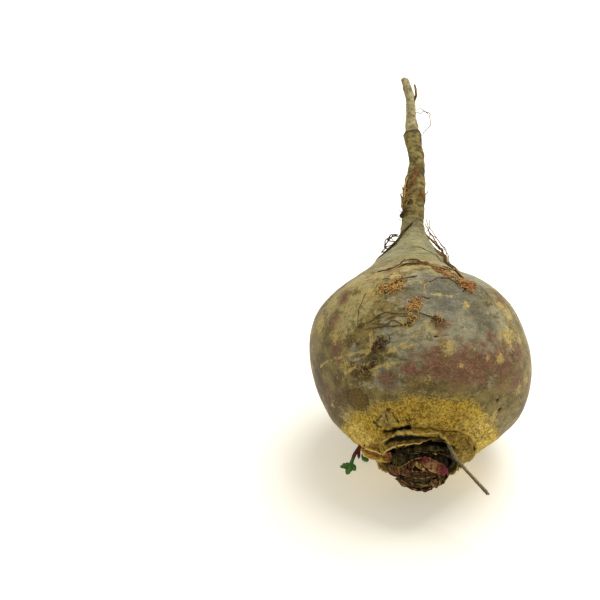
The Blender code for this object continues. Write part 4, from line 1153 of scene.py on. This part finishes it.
# Curled leaf bases that face the sky: (tone, widths along it, hollow, thickness, route of x, y, z)
SHEATH_TONES = ("gold", "green", "dark", "pink", "plum", "pale")
SHEATHS = (
    (
        "gold",
        (1, 1.3, 1.2, 0.8),
        0,
        0.7,
        (
            (-16, -2.2, -40.3), (-13.9, -3.2, -39.9), (-10.8, -8, -40.9), (-7.2, -10.2, -41.3),
            (-3.2, -11.1, -41.5), (0.2, -10.8, -40.6),
        ),
    ),
    (
        "gold",
        (1.8, 3, 3.4, 3.2, 2.2),
        0.1,
        1,
        (
            (-13.2, -3.9, -41.9), (-9.2, -8.8, -42.5), (-4.2, -10.6, -42.6), (0.5, -10.5, -42.5),
            (4.8, -9.3, -43.7),
        ),
    ),
    (
        "green",
        (4.6, 4.4, 3.4, 1.2),
        0.12,
        0.9,
        ((-11.4, -6.9, -47.2), (-8.1, -9.5, -46.7), (-5.1, -10.8, -46), (-0.6, -11, -45)),
    ),
    ("green", (2.6, 3.2, 2.6), 0.1, 1.2, ((-13.3, -3, -40.6), (-14.2, -3, -43.6), (-13.8, -3, -47.2))),
    (
        "green",
        (2.8, 3.2, 2.8),
        -0.1,
        1.2,
        ((-11.2, -6.8, -42.3), (-12.3, -6.4, -45.4), (-11.8, -5.2, -48.9)),
    ),
    (
        "dark",
        (2.4, 3.2, 3, 2.2),
        -0.06,
        1.1,
        ((-1.2, -10.6, -45.2), (3.2, -9.6, -45.6), (6.4, -7.6, -46.4), (8.6, -4.8, -47.6)),
    ),
    (
        "pink",
        (1, 3.4, 5.2, 4.4, 3.4, 1),
        0.05,
        1.2,
        (
            (-3, -10.7, -47.6), (-0.4, -10.4, -48), (2.2, -9.2, -49), (4.6, -7.6, -49.7),
            (6.8, -5.8, -49.9), (9.4, -1.6, -49.4),
        ),
    ),
    ("brown", (3.2, 3.8, 3), -0.08, 1, ((-8.7, -8.7, -46.8), (-8.9, -7.8, -49.4), (-7.7, -6.2, -51.8))),
    ("plum", (1.8, 2.6, 2.2), -0.15, 1.2, ((-5.8, -10, -47), (-5.9, -9.3, -49.2), (-6.2, -7.4, -51.4))),
    ("pale", (1.2, 1.6, 1), -0.1, 0.9, ((-4.4, -10.2, -47.4), (-3, -9.4, -49.3), (-0.4, -8.4, -50.9))),
    (
        "brown",
        (2.2, 3, 3.2, 3, 2.2),
        0.16,
        0.9,
        (
            (-11, -5.6, -49.4), (-7.3, -6.6, -51.2), (-3.4, -6.9, -51.9), (0.9, -6.8, -51.8),
            (4.8, -4.8, -51.4),
        ),
    ),
    (
        "green",
        (2.4, 3.8, 4, 2.6),
        0.22,
        0.8,
        ((-6.9, -4.4, -52.6), (-3.6, -4.4, -53.3), (-0.4, -4.2, -53.2), (2.8, -4, -52.4)),
    ),
    (
        "brown",
        (2, 2.6, 2.8, 2.6, 2.6, 1.8),
        0.2,
        0.9,
        (
            (-12, -4.2, -49.6), (-9.8, -2, -52), (-6.3, -0.5, -53.6), (-1.5, 0.9, -54),
            (2.6, 1.2, -53.2), (5, -1.6, -52.2),
        ),
    ),
    (
        "plum",
        (1.6, 2.2, 2.2, 1.6),
        0.2,
        0.8,
        ((-9.2, -4.6, -51.4), (-6.4, -3.2, -53.1), (-2.8, -2.2, -53.9), (1.4, -1.8, -53.6)),
    ),
    (
        "brown",
        (2.2, 2.8, 2.2),
        0.15,
        1.1,
        ((-14.2, 0, -44.4), (-13.8, -1.2, -47.8), (-11.2, -2.8, -51)),
    ),
    ("brown", (2.4, 3, 2.4), 0.15, 1, ((5.2, -6.2, -50), (6.2, -2.6, -51.4), (5, 1.8, -52.2))),
    ("dark", (2.6, 3.2, 2.6), 0.12, 1, ((8.4, -3.4, -46.2), (9.2, -0.6, -49), (7.8, 3, -50.6))),
    # Pale lumps under the ledge, painted lighter than their own colour as painted light
    (
        "pale",
        (1.2, 2.2, 2.2, 1.4),
        -0.15,
        1.4,
        ((-3.4, -11.4, -42.6), (0.2, -11.4, -42.4), (3, -10.9, -43.2), (3.6, -10.6, -44.8)),
    ),
    (
        "pale",
        (0.7, 0.9, 0.9, 0.6),
        0,
        0.6,
        ((-10.4, -8.5, -42.4), (-7.6, -10.4, -43.4), (-4.8, -11.4, -44.4), (-2.6, -11.6, -44.8)),
    ),
    (
        "brown",
        (2.4, 3.2, 2.8, 1.4),
        -0.08,
        1.1,
        ((-14.6, -0.5, -46.4), (-13.4, -2.8, -48.4), (-10.8, -5.4, -50.1), (-8.2, -6.8, -51.2)),
    ),
    (
        "plum",
        (2, 2.8, 3, 3, 2.8, 1.8),
        0.1,
        1.2,
        (
            (-11.6, 0.6, -51.2), (-8.2, 1.6, -53), (-4.4, 2.8, -54.2), (-1.3, 3.2, -54.6),
            (1.5, 3, -54.3), (4, 2.2, -53.4),
        ),
    ),
    ("brown", (2, 3, 2.6), -0.1, 1.3, ((1.6, -3.4, -53.4), (3.8, -1.4, -53.6), (4.6, 1.6, -53.4))),
    ("brown", (1.4, 2, 1.6), 0.1, 1, ((5, -2.6, -52.4), (6.8, -2.2, -51.6), (7.6, -2.6, -50.4))),
)


def rim(from_turn, to_turn, radius, foot, top, thickness, seed):
    """A thin upright wall round part of the crown, with a ragged top: (points, faces, edge)."""
    count = int(abs(to_turn - from_turn) * radius * math.pi / 180 / 0.22)
    share = np.linspace(0, 1, count)
    turn = from_turn + (to_turn - from_turn) * share
    profile = round_turns(14)
    side, high = np.cos(profile), 0.5 + 0.5 * np.sin(profile)
    middle = skin(turn, np.full(count, radius), np.full(count, foot))
    ragged = 0.5 * noise(middle, 3, seed) + 0.35 * noise(middle, 1.2, seed + 1)
    notch = np.maximum(0, noise(middle, 1.6, seed + 2) - 0.35) * 1.6
    ends = np.clip(np.minimum(share, 1 - share) / 0.12, 0, 1)
    height = (foot - top) * ends * np.clip(1 + 0.5 * ragged - notch, 0.1, 1.5)
    thick = (0.25 * thickness * (1 + ends))[:, None] * (1.1 - 0.45 * high)
    lean = 0.35 * high * (1 + ragged[:, None])
    reach = radius + thick * side + lean + 0.4 * noise(middle, 5, seed + 3)[:, None]
    points, faces = lofted(skin(turn[:, None], reach, foot - height[:, None] * high))
    return points, faces, end_values(np.tile(smoothstep(high, 0.55, 0.95), count), 0.5, 0.5)


def leaf_base(degrees, foot_radius, foot_along, top_radius, top_along, width, thickness, curl, seed, spread):
    """A curled leaf base with ribs outside, thin edges and a hollow, ragged cut: (points, faces, looks)."""
    turn = math.radians(degrees)
    outward, across = (math.sin(turn), -math.cos(turn), 0), (math.cos(turn), math.sin(turn), 0)
    turns, rings = round_turns(64), 34
    side, face = np.cos(turns), np.sin(turns)
    shares = np.concatenate([np.linspace(0, 1, rings), np.ones(3)])
    shrink = np.concatenate([np.ones(rings), [0.8, 0.5, 0.15]])[:, None]
    sunk = np.concatenate([np.zeros(rings), [0.12, 0.7, 1.1]])
    t = shares[:, None]
    half = 0.5 * width * (1 - STUB_TAPER * t)
    thin = 0.5 * thickness * (1 - STUB_TAPER * t) * (1 - 0.45 * np.abs(side) ** 3)
    rib = 0.5 + 0.5 * np.cos(side * 11 + seed)
    y = shrink * thin * face - curl * (half * side) ** 2 + 0.16 * rib * (face > 0) * shrink
    y = y - 0.5 * np.maximum(0, np.abs(side) - 0.7) * half * (0.4 + 0.6 * t)
    radius = foot_radius + (top_radius - foot_radius) * t + spread * np.sin(np.pi * np.minimum(t, 0.85))
    along = foot_along + (top_along - foot_along) * t + 0.5 * t * face + sunk[:, None]
    along = along + t * (0.5 * np.sin(3.1 * side + seed) + 0.3 * np.sin(8.3 * side + 2 * seed))
    grid = (radius + y)[..., None] * outward + (shrink * half * side)[..., None] * across
    grid = grid + along[..., None] * (0, 0, 1)
    push = 0.5 * shake(grid, 3.2, seed) + 0.2 * shake(grid, 1.3, seed)
    grid = grid + push * np.clip(shares * 2, 0, 1)[:, None, None]
    rim_share = smoothstep(shares, 0.86, 1) * (1 - smoothstep(sunk, 0.1, 0.7))
    edge = np.maximum(rim_share[:, None], (np.abs(side) ** 8) * t)
    cut, high = smoothstep(sunk, 0.1, 0.6)[:, None] + 0 * side, t + 0 * side
    return *lofted(grid), [end_values(look, look[0, 0], look[-1, 0]) for look in (edge, cut, high)]


def sheath(widths, hollow, thickness, route, seed):
    """A bent blade along a route, with thin edges that hollow lifts or lowers: (points, faces, looks)."""
    count = max(30, int(4 * np.linalg.norm(np.diff(route, axis=0), axis=1).sum()))
    route = finer(route, count)
    ahead, across, outward = frames(route, unit(route - BUNCH_MIDDLE))
    share, turns = np.linspace(0, 1, count), round_turns(36)
    side, face = np.cos(turns), np.sin(turns)
    half = 0.5 * finer(widths, count) * (1 + 0.1 * np.sin(9 * share + seed))[:, None]
    ribs = (0.12 * np.cos(9 * side + seed) + 0.06 * np.cos(17 * side)) * np.abs(face)
    up = 0.5 * thickness * face * (1 - 0.5 * np.abs(side) ** 3) + ribs + hollow * (half * side) ** 2
    up = up - (0.8 * (1 - smoothstep(share, 0, 0.2)) + 0.5 * smoothstep(share, 0.85, 1))[:, None]
    grid = swept(route, across, outward, half * side, up)
    torn = (smoothstep(share, 0.85, 1) - 0.5 * (1 - smoothstep(share, 0, 0.1)))[:, None]
    torn = torn * (0.35 * np.sin(5 * side + seed) + 0.2 * np.sin(11 * side))
    grid = grid + torn[..., None] * ahead[:, None]
    grid = grid + 0.35 * shake(grid, 2.4, seed) + 0.16 * shake(grid, 0.9, seed)
    points, faces = lofted(grid)
    edge = end_values(np.tile(np.abs(side) ** 8, count), 0.3, 0.8)
    inside = end_values(np.tile(smoothstep(face * np.sign(hollow), -0.1, 0.5), count), 0, 0)
    return points, faces, [edge, inside * abs(np.sign(hollow)), np.ones(len(points))]


def stub_placement():
    """Leaf bases on the crown's underside: those of the solids, and papery blades between them."""
    placed = []
    for ring, (count, foot_radius, foot_along, top_radius, top_along) in enumerate(STUB_RINGS):
        for k in range(count):
            degrees = 360 * (k + 0.5 * ring) / count + 83
            if foot_radius > UNDERSIDE_FROM_RADIUS and abs(turn_gap(degrees, 0)) < UNDERSIDE_FROM_TURN:
                continue
            underneath = 0.5 - 0.5 * math.cos(math.radians(degrees))
            unevenness = STUB_UNEVENNESS * math.sin(5.1 * len(placed)) - 0.4 * ring
            reach = UNDERSIDE_REACH * (underneath - 0.35) + unevenness
            size = min(1, 0.35 + foot_radius / 9)
            place = (degrees, foot_radius, foot_along, top_radius, top_along - reach)
            form = (STUB_WIDTH * size, STUB_THICKNESS * size, STUB_CURL, len(placed) + 60, STUB_SPREAD)
            placed.append(place + form)
    draw = np.random.default_rng(BLADE_SEED)
    for k in range(PAPERY_BLADES):
        degrees = 360 * (k + draw.uniform(-0.3, 0.3)) / PAPERY_BLADES + 20
        radius = draw.uniform(5.5, 9.6)
        if abs(turn_gap(degrees, 0)) < UNDERSIDE_FROM_TURN:
            continue
        underneath = 0.5 - 0.5 * math.cos(math.radians(degrees))
        top = -48.6 - 0.25 * (9.6 - radius) - UNDERSIDE_REACH * underneath + draw.uniform(-0.8, 1)
        place = (degrees, radius, -44.6, radius + draw.uniform(-1.2, 0.6), top)
        placed.append(place + (draw.uniform(3, 6), 0.8, 0.08, 90 + k, 1.6))
    return placed


def stub_core():
    """The core under the stubs: (points, faces, looks)."""
    turns = np.radians(np.arange(48) * 7.5)
    radius, along = path_steps(np.array(STUB_CORE_OUTLINE[::-1]), 0.6).T[..., None]
    x = radius * np.sin(turns) * CORE_WIDENING + CORE_MIDDLE_X
    points, faces = lofted(np.stack([x, -radius * np.cos(turns), along + 0 * turns], axis=-1))
    return points, faces, [np.zeros(len(points))] * 3


def leaf_base_finish():
    """Old leaf bases: dark purple-brown, with pale dry edges and one magenta side."""
    f = Finish("leaf_bases")
    streaks = f.noise(1, 4, 0.6, 0, (1, 1, 0.25))
    speck, wide = f.noise(0.6, 3, 0.6), f.noise(3.6, 2)
    colour = f.blend(streaks, 0.35, 0.7, (0.012, 0.006, 0.003), (0.29, 0.15, 0.05))
    colour = f.layer(colour, wide, 0.45, 0.65, 0.45, (0.07, 0.02, 0.024))
    colour = f.layer(colour, wide, 0.42, 0.3, 0.7, (0.08, 0.065, 0.02))
    pink = f.blend(wide, 0.4, 0.6, (0.2, 0.012, 0.035), (0.46, 0.035, 0.1))
    pink = f.layer(pink, streaks, 0.5, 0.35, 0.6, (0.05, 0.008, 0.02))
    speckled = f.math("MULTIPLY", f.value("speckled"), f.ramp(f.noise(1.2, 3, 0.6), 0.41, 0.51))
    pink = f.mix(speckled, pink, (0.9, 0.66, 0.26))
    tints = {
        "gold": f.blend(streaks, 0.35, 0.65, (0.1, 0.065, 0.016), (0.7, 0.52, 0.14)),
        "green": f.blend(streaks, 0.4, 0.7, (0.005, 0.005, 0.003), (0.165, 0.135, 0.036)),
        "dark": f.blend(streaks, 0.4, 0.8, (0.004, 0.003, 0.003), (0.08, 0.048, 0.022)),
        "pink": f.layer(pink, speck, 0.45, 0.3, 0.7, (0.05, 0.004, 0.012)),
        "plum": f.blend(streaks, 0.35, 0.7, (0.012, 0.004, 0.003), (0.19, 0.075, 0.036)),
        # Pale dry bits of leaf base; on the lumps under the ledge this lighter tone is also painted light
        "pale": f.blend(streaks, 0.35, 0.65, (0.11, 0.075, 0.022), (0.7, 0.52, 0.2)),
    }
    for tone in SHEATH_TONES:
        colour = f.mix(f.value(tone), colour, tints[tone])
    colour = f.layer(colour, f.value("cut"), 0.2, 0.9, 0.55, (0.012, 0.008, 0.006))
    edge = f.math("MULTIPLY", f.value("edge"), f.ramp(f.noise(1.6), 0.44, 0.56))
    colour = f.layer(colour, edge, 0.15, 0.5, 0.9, f.mix(wide, (0.38, 0.24, 0.09), (0.52, 0.38, 0.1)))
    colour = f.layer(colour, f.value("high"), 0.45, 0, 0.8, (0.014, 0.009, 0.007))
    colour = f.mix(1, colour, (0.92, 0.84, 0.72), "MULTIPLY")
    return f.done(colour, 0.75, f.bump(f.mix(0.5, streaks, speck), 0.5), 0.12)


def rim_finish():
    """Torn leaf bases on the ledges: dark brown at the foot, yellow-ochre at the edge."""
    f = Finish("leaf_rims")
    streaks = f.noise(0.9, 4, 0.6, 0, (1, 1, 0.3))
    dark = f.mix(streaks, (0.03, 0.02, 0.008), (0.24, 0.16, 0.04))
    pale = f.mix(streaks, (0.4, 0.28, 0.06), (0.72, 0.54, 0.18))
    colour = f.blend(f.value("edge"), 0.15, 0.75, dark, pale)
    colour = f.layer(colour, f.noise(4, 2), 0.55, 0.7, 0.5, (0.2, 0.15, 0.04))
    return f.done(colour, 0.8, f.bump(streaks, 0.3), 0.25)


rims = [rim(*values, 130 + 7 * k) for k, values in enumerate(RIMS)]
bundle("torn_leaf_rims", rims, "beet_root", rim_finish(), edge=[edge for _, _, edge in rims])

bases = [leaf_base(*values) for values in stub_placement()]
tones_of_bases = [""] * len(bases)
for number, (tone, *form) in enumerate(SHEATHS):
    bases.append(sheath(*form, 40 + 5 * number))
    tones_of_bases.append(tone)
bases.append(stub_core())
tones_of_bases.append("")
base_values = {key: [looks[k] for _, _, looks in bases] for k, key in enumerate(("edge", "cut", "high"))}
base_values.update((tone, [float(tone == of_base) for of_base in tones_of_bases]) for tone in SHEATH_TONES)
offs = [np.linalg.norm(points - SPECKLED_AT, axis=1) / SPECKLED_SIZE for points, _, _ in bases]
base_values["speckled"] = [bell(off) for off in offs]
bundle("leaf_stub_bunch", bases, "crown_leaf_stubs", leaf_base_finish(), **base_values)

# The dried stalk, the shoot and the torn leaf base, as in the solids
STALK_ROUTE = (
    (8.3, -14.9, -41), (9.3, -15.2, -44.4), (10.9, -14.9, -47.6), (12.9, -14.4, -50.2),
    (16.4, -14, -54.5), (19.8, -13.8, -58.5), (22.8, -13.4, -62),
)
STALK_WIDTHS = (2.1, 2.1, 2, 2, 2.1, 2.3, 2.4)
STALK_THICKNESS = 1.1
STALK_FACE = (0.6, -0.5, 0.6)
SHOOT_ROUTE = (
    (-23, 4, -33), (-25.3, 4.4, -36), (-27.3, 4.6, -39.2), (-28.5, 5.3, -42.2), (-29, 5.6, -43.4),
)
SHOOT_RADIUS = 0.75
SHOOT_LEAF_TIPS = ((-33, 6, -44), (-30.4, 7, -46.8), (-27, 6.8, -45.2))
SHOOT_LEAF_WIDTHS = (1.2, 1.8, 2.5, 2.7, 2, 0.8)
SHOOT_PRONG = ((-24.8, 4.3, -35.2), (-25.6, 5.2, -37.8), (-25.6, 6, -40.6))
# A small green bud on a thin stem, and its radii by share of its length
SHOOT_BUD = (
    (-23.6, 3.8, -34.4), (-23.9, 4.5, -37), (-24.3, 5, -39.6), (-23.2, 4.8, -41.2), (-21.8, 4.2, -41.8),
)
SHOOT_BUD_RADII = ((0, 0.3), (0.5, 0.35), (0.7, 0.95), (0.9, 0.9), (1, 0.3))
TORN_BASE_ROUTE = (
    (-12.6, -6.4, -44.4), (-15.5, -4, -44), (-18.6, -3, -43), (-21.8, -3, -41.8), (-24.6, -3.4, -40.6),
)
TORN_BASE_FACE = (-0.3, -0.9, -0.3)
TORN_BASE_WIDTH = 3.6
TORN_BASE_THICKNESS = 1.1


def dry_stalk():
    """A flat fibrous strip: ribs along it, thin dark edges and a frayed end: (points, faces, edge)."""
    count, turns = 120, round_turns(48)
    route = finer(STALK_ROUTE, count)
    ahead, across, upwards = frames(route, STALK_FACE)
    share = np.linspace(0, 1, count)[:, None]
    flute = 1 + 0.1 * np.cos(9 * turns + 1.5 * np.sin(7 * share)) + 0.06 * np.cos(17 * turns + 3 * share)
    reach = 0.5 * finer(STALK_WIDTHS, count) * flute * (1 + 0.28 * bell(share / 0.08))
    flat = STALK_THICKNESS / STALK_WIDTHS[0]
    grid = swept(route, across, upwards, reach * np.cos(turns), reach * flat * np.sin(turns))
    ragged = 0.9 * np.sin(5 * np.cos(turns)) * smoothstep(share, 0.93, 1)
    grid = grid + ragged[..., None] * ahead[:, None]
    grid = grid + 0.1 * shake(grid, 1.6, 80)
    return *lofted(grid), end_values(np.tile(np.abs(np.cos(turns)) ** 3, count), 0.5, 0.5)


def stalk_finish():
    """Grey-brown dry fibres with darker edges."""
    f = Finish("dry_stalk")
    fibres = f.noise(0.5, 4, 0.6, 0.3, (1.6, 0.5, 0.35))
    colour = f.blend(fibres, 0.3, 0.7, (0.05, 0.038, 0.018), (0.4, 0.33, 0.19))
    colour = f.layer(colour, f.value("edge"), 0.5, 1, 0.7, (0.05, 0.035, 0.018))
    colour = f.layer(colour, f.noise(3), 0.55, 0.7, 0.5, (0.2, 0.17, 0.1))
    return f.done(colour, 0.75, f.bump(fibres, 0.25), 0.3)


def young_leaf(tip, number):
    """A small cupped leaf with a curled edge: (points, faces, how near its veins each point is)."""
    count, turns = 30, round_turns(28)
    start = finer(SHOOT_ROUTE, 7)[-2]
    share = np.linspace(0, 1, count)[:, None]
    route = start + (np.array(tip) - start) * share
    _, across, upwards = frames(route, (0, -1, 0.2))
    side, face = np.cos(turns), np.sin(turns)
    radii = 0.5 * finer(SHOOT_LEAF_WIDTHS, count)
    x = radii * side * (1 + 0.12 * np.sin(22 * share + 2 * number) * np.abs(side))
    cup = 0.16 * x**2 * (-1 if number == 1 else 1) + 0.12 * np.sin(18 * share) * side**2
    y = 0.22 * radii * face * (1 - 0.5 * side**2) - cup
    branches = 0.6 * bell(((share * 7 - 1.6 * np.abs(side)) % 1 - 0.5) / 0.14) * (1 - side**4)
    veins = np.clip(bell(side / 0.16) + branches, 0, 1)
    return *lofted(swept(route, across, upwards, x, y)), end_values(veins, 1, 0.5)


def shoot_finish():
    """A dark red-purple stem and green leaves with paler veins."""
    f = Finish("side_shoot")
    grain = f.noise(0.8)
    leaf = f.mix(grain, (0.01, 0.065, 0.004), (0.05, 0.2, 0.014))
    leaf = f.layer(leaf, f.value("vein"), 0.2, 1, 0.5, (0.2, 0.38, 0.06))
    stem = f.mix(grain, (0.03, 0.01, 0.008), (0.15, 0.025, 0.03))
    colour = f.blend(f.value("leaf"), 0.2, 0.8, stem, leaf)
    return f.done(colour, 0.45, f.bump(f.mix(0.5, grain, f.value("vein")), 0.15), 0.5)


def leaf_trough():
    """The torn leaf base over the ledges, a trough with thin, ragged edges: (points, faces, edge, painted
    shade).
    """
    count, turns = 70, round_turns(56)
    route = finer(TORN_BASE_ROUTE, count)
    ahead, across, outward = frames(route, TORN_BASE_FACE)
    share = np.linspace(0, 1, count)[:, None]
    cosine, sine = np.cos(turns), np.sin(turns)
    side = 0.5 * TORN_BASE_WIDTH * (1 - 0.12 * share**2) * (1 + 0.1 * np.sin(11 * share)) * cosine
    up = 0.5 * TORN_BASE_THICKNESS * (1 - 0.55 * np.abs(cosine) ** 3) * sine + 0.42 * side**2
    grid = swept(route, across, outward, side, up)
    ragged = smoothstep(share, 0.9, 1) * (0.8 * np.sin(4 * cosine + 1))
    grid = grid + ragged[..., None] * ahead[:, None]
    grid = grid + 0.25 * shake(grid, 2.2, 100)
    edge = smoothstep(share, 0.05, 0.3) * cosine**4
    upper = smoothstep(cosine, -0.35, 0.15) * (sine > -0.2)
    # Painted shade: the upper half of the inside and the foot end are marked as shaded
    shade = np.maximum(upper * smoothstep(1 - share, 0.02, 0.12), 1 - smoothstep(share, 0.1, 0.35))
    return *lofted(grid), end_values(edge, 0, 1), end_values(shade, 1, 0)


def trough_finish():
    """Orange-brown inside, as a lit copy and a copy with painted shade, with yellow-ochre edges."""
    f = Finish("torn_leaf_base")
    fibres = f.noise(0.7, 4, 0.65, 0.2, (0.25, 1, 1))
    lit_trough_inside = f.blend(fibres, 0.35, 0.65, (0.3, 0.15, 0.02), (0.85, 0.55, 0.1))
    painted_shade_inside = f.blend(fibres, 0.35, 0.65, (0.05, 0.018, 0.005), (0.34, 0.13, 0.02))
    inside = f.mix(f.value("shade"), lit_trough_inside, painted_shade_inside)
    pale = f.mix(fibres, (0.7, 0.48, 0.09), (0.95, 0.76, 0.26))
    return f.done(f.blend(f.value("edge"), 0.05, 0.5, inside, pale), 0.7, f.bump(fibres, 0.3), 0.3)


stalk = dry_stalk()
bundle("dry_leaf_strip", [stalk], "dry_leaf_stalk", stalk_finish(), edge=[stalk[2]])

stem_route = finer(SHOOT_ROUTE, 40)
stem = tube(stem_route, SHOOT_RADIUS * (1 + 0.12 * noise(stem_route, 1.5, 5)), 18)
prong = tube(finer(SHOOT_PRONG, 12), taper(12, 0.7), 10)
bud = tube(finer(SHOOT_BUD, 24), curve_values(SHOOT_BUD_RADII, np.linspace(0, 1, 24)), 12)
young_leaves = [young_leaf(tip, number) for number, tip in enumerate(SHOOT_LEAF_TIPS)]
stem_green, bud_green = smoothstep(-stem[0][:, 2], 39, 43), smoothstep(-bud[0][:, 2], 38.5, 40.5)
bundle(
    "young_shoot",
    [stem, prong, bud, *young_leaves],
    "side_shoot",
    shoot_finish(),
    vein=[0, 0, 0] + [veins for _, _, veins in young_leaves],
    leaf=[stem_green, 0, bud_green] + [1] * len(young_leaves),
)

trough = leaf_trough()
bundle("torn_leaf_base", [trough], "beet_root", trough_finish(), edge=[trough[2]], shade=[trough[3]])

# Light, floor and camera
FLOOR_SIZE = 4
CAMERA_TILT = 36
# From the body's centre to the camera, in metres, in the camera's own directions
CAMERA_LEFT = 0.04905
CAMERA_UP = 0.0243
CAMERA_BACK = 0.75
FOCAL_PIXELS = 1850
PHOTO_PIXELS = 600
SENSOR = 36

bpy.ops.mesh.primitive_plane_add(size=FLOOR_SIZE)
floor = bpy.context.object
floor.name = "floor"
paper = Finish("floor")
paper.shader.inputs["Emission Color"].default_value = (1, 0.93, 0.74, 1)
paper.shader.inputs["Emission Strength"].default_value = 0.36
floor.data.materials.append(paper.done((0.88, 0.88, 0.87, 1), 0.9, specular=0.1))

world = bpy.context.scene.world or bpy.data.worlds.new("world")
bpy.context.scene.world = world
world.use_nodes = True
world.node_tree.nodes["Background"].inputs["Color"].default_value = (1, 0.95, 0.84, 1)
world.node_tree.nodes["Background"].inputs["Strength"].default_value = 0.5


def put_in_scene(name, data, place):
    """A lamp or camera at a place."""
    holder = bpy.data.objects.new(name, data)
    bpy.context.scene.collection.objects.link(holder)
    holder.location = place
    return holder


LAMP_PLACE = Vector((0.3, 0.4, 1.1))
LAMP_AIM = Vector((0, 0, 0.03))
lamp = bpy.data.lights.new("overhead", "AREA")
lamp.size = 0.8
lamp.energy = 13
lamp.color = (1, 0.98, 0.96)
lamp_holder = put_in_scene("overhead", lamp, LAMP_PLACE)
lamp_holder.rotation_euler = (LAMP_AIM - LAMP_PLACE).to_track_quat("-Z", "Y").to_euler()

tilt = math.radians(CAMERA_TILT)
right = np.array((1, 0, 0))
upward = np.array((0, math.sin(tilt), math.cos(tilt)))
forward = np.array((0, math.cos(tilt), -math.sin(tilt)))
view = bpy.data.cameras.new("camera")
view.lens = FOCAL_PIXELS * SENSOR / PHOTO_PIXELS
view.sensor_width = SENSOR
view.clip_end = 20
eye = BODY_CENTRE * MM - (CAMERA_LEFT * right - CAMERA_UP * upward + CAMERA_BACK * forward)
camera = put_in_scene("camera", view, eye)
camera.rotation_euler = (math.radians(90 - CAMERA_TILT), 0, 0)
bpy.context.scene.camera = camera
bpy.context.scene.view_settings.view_transform = "Standard"
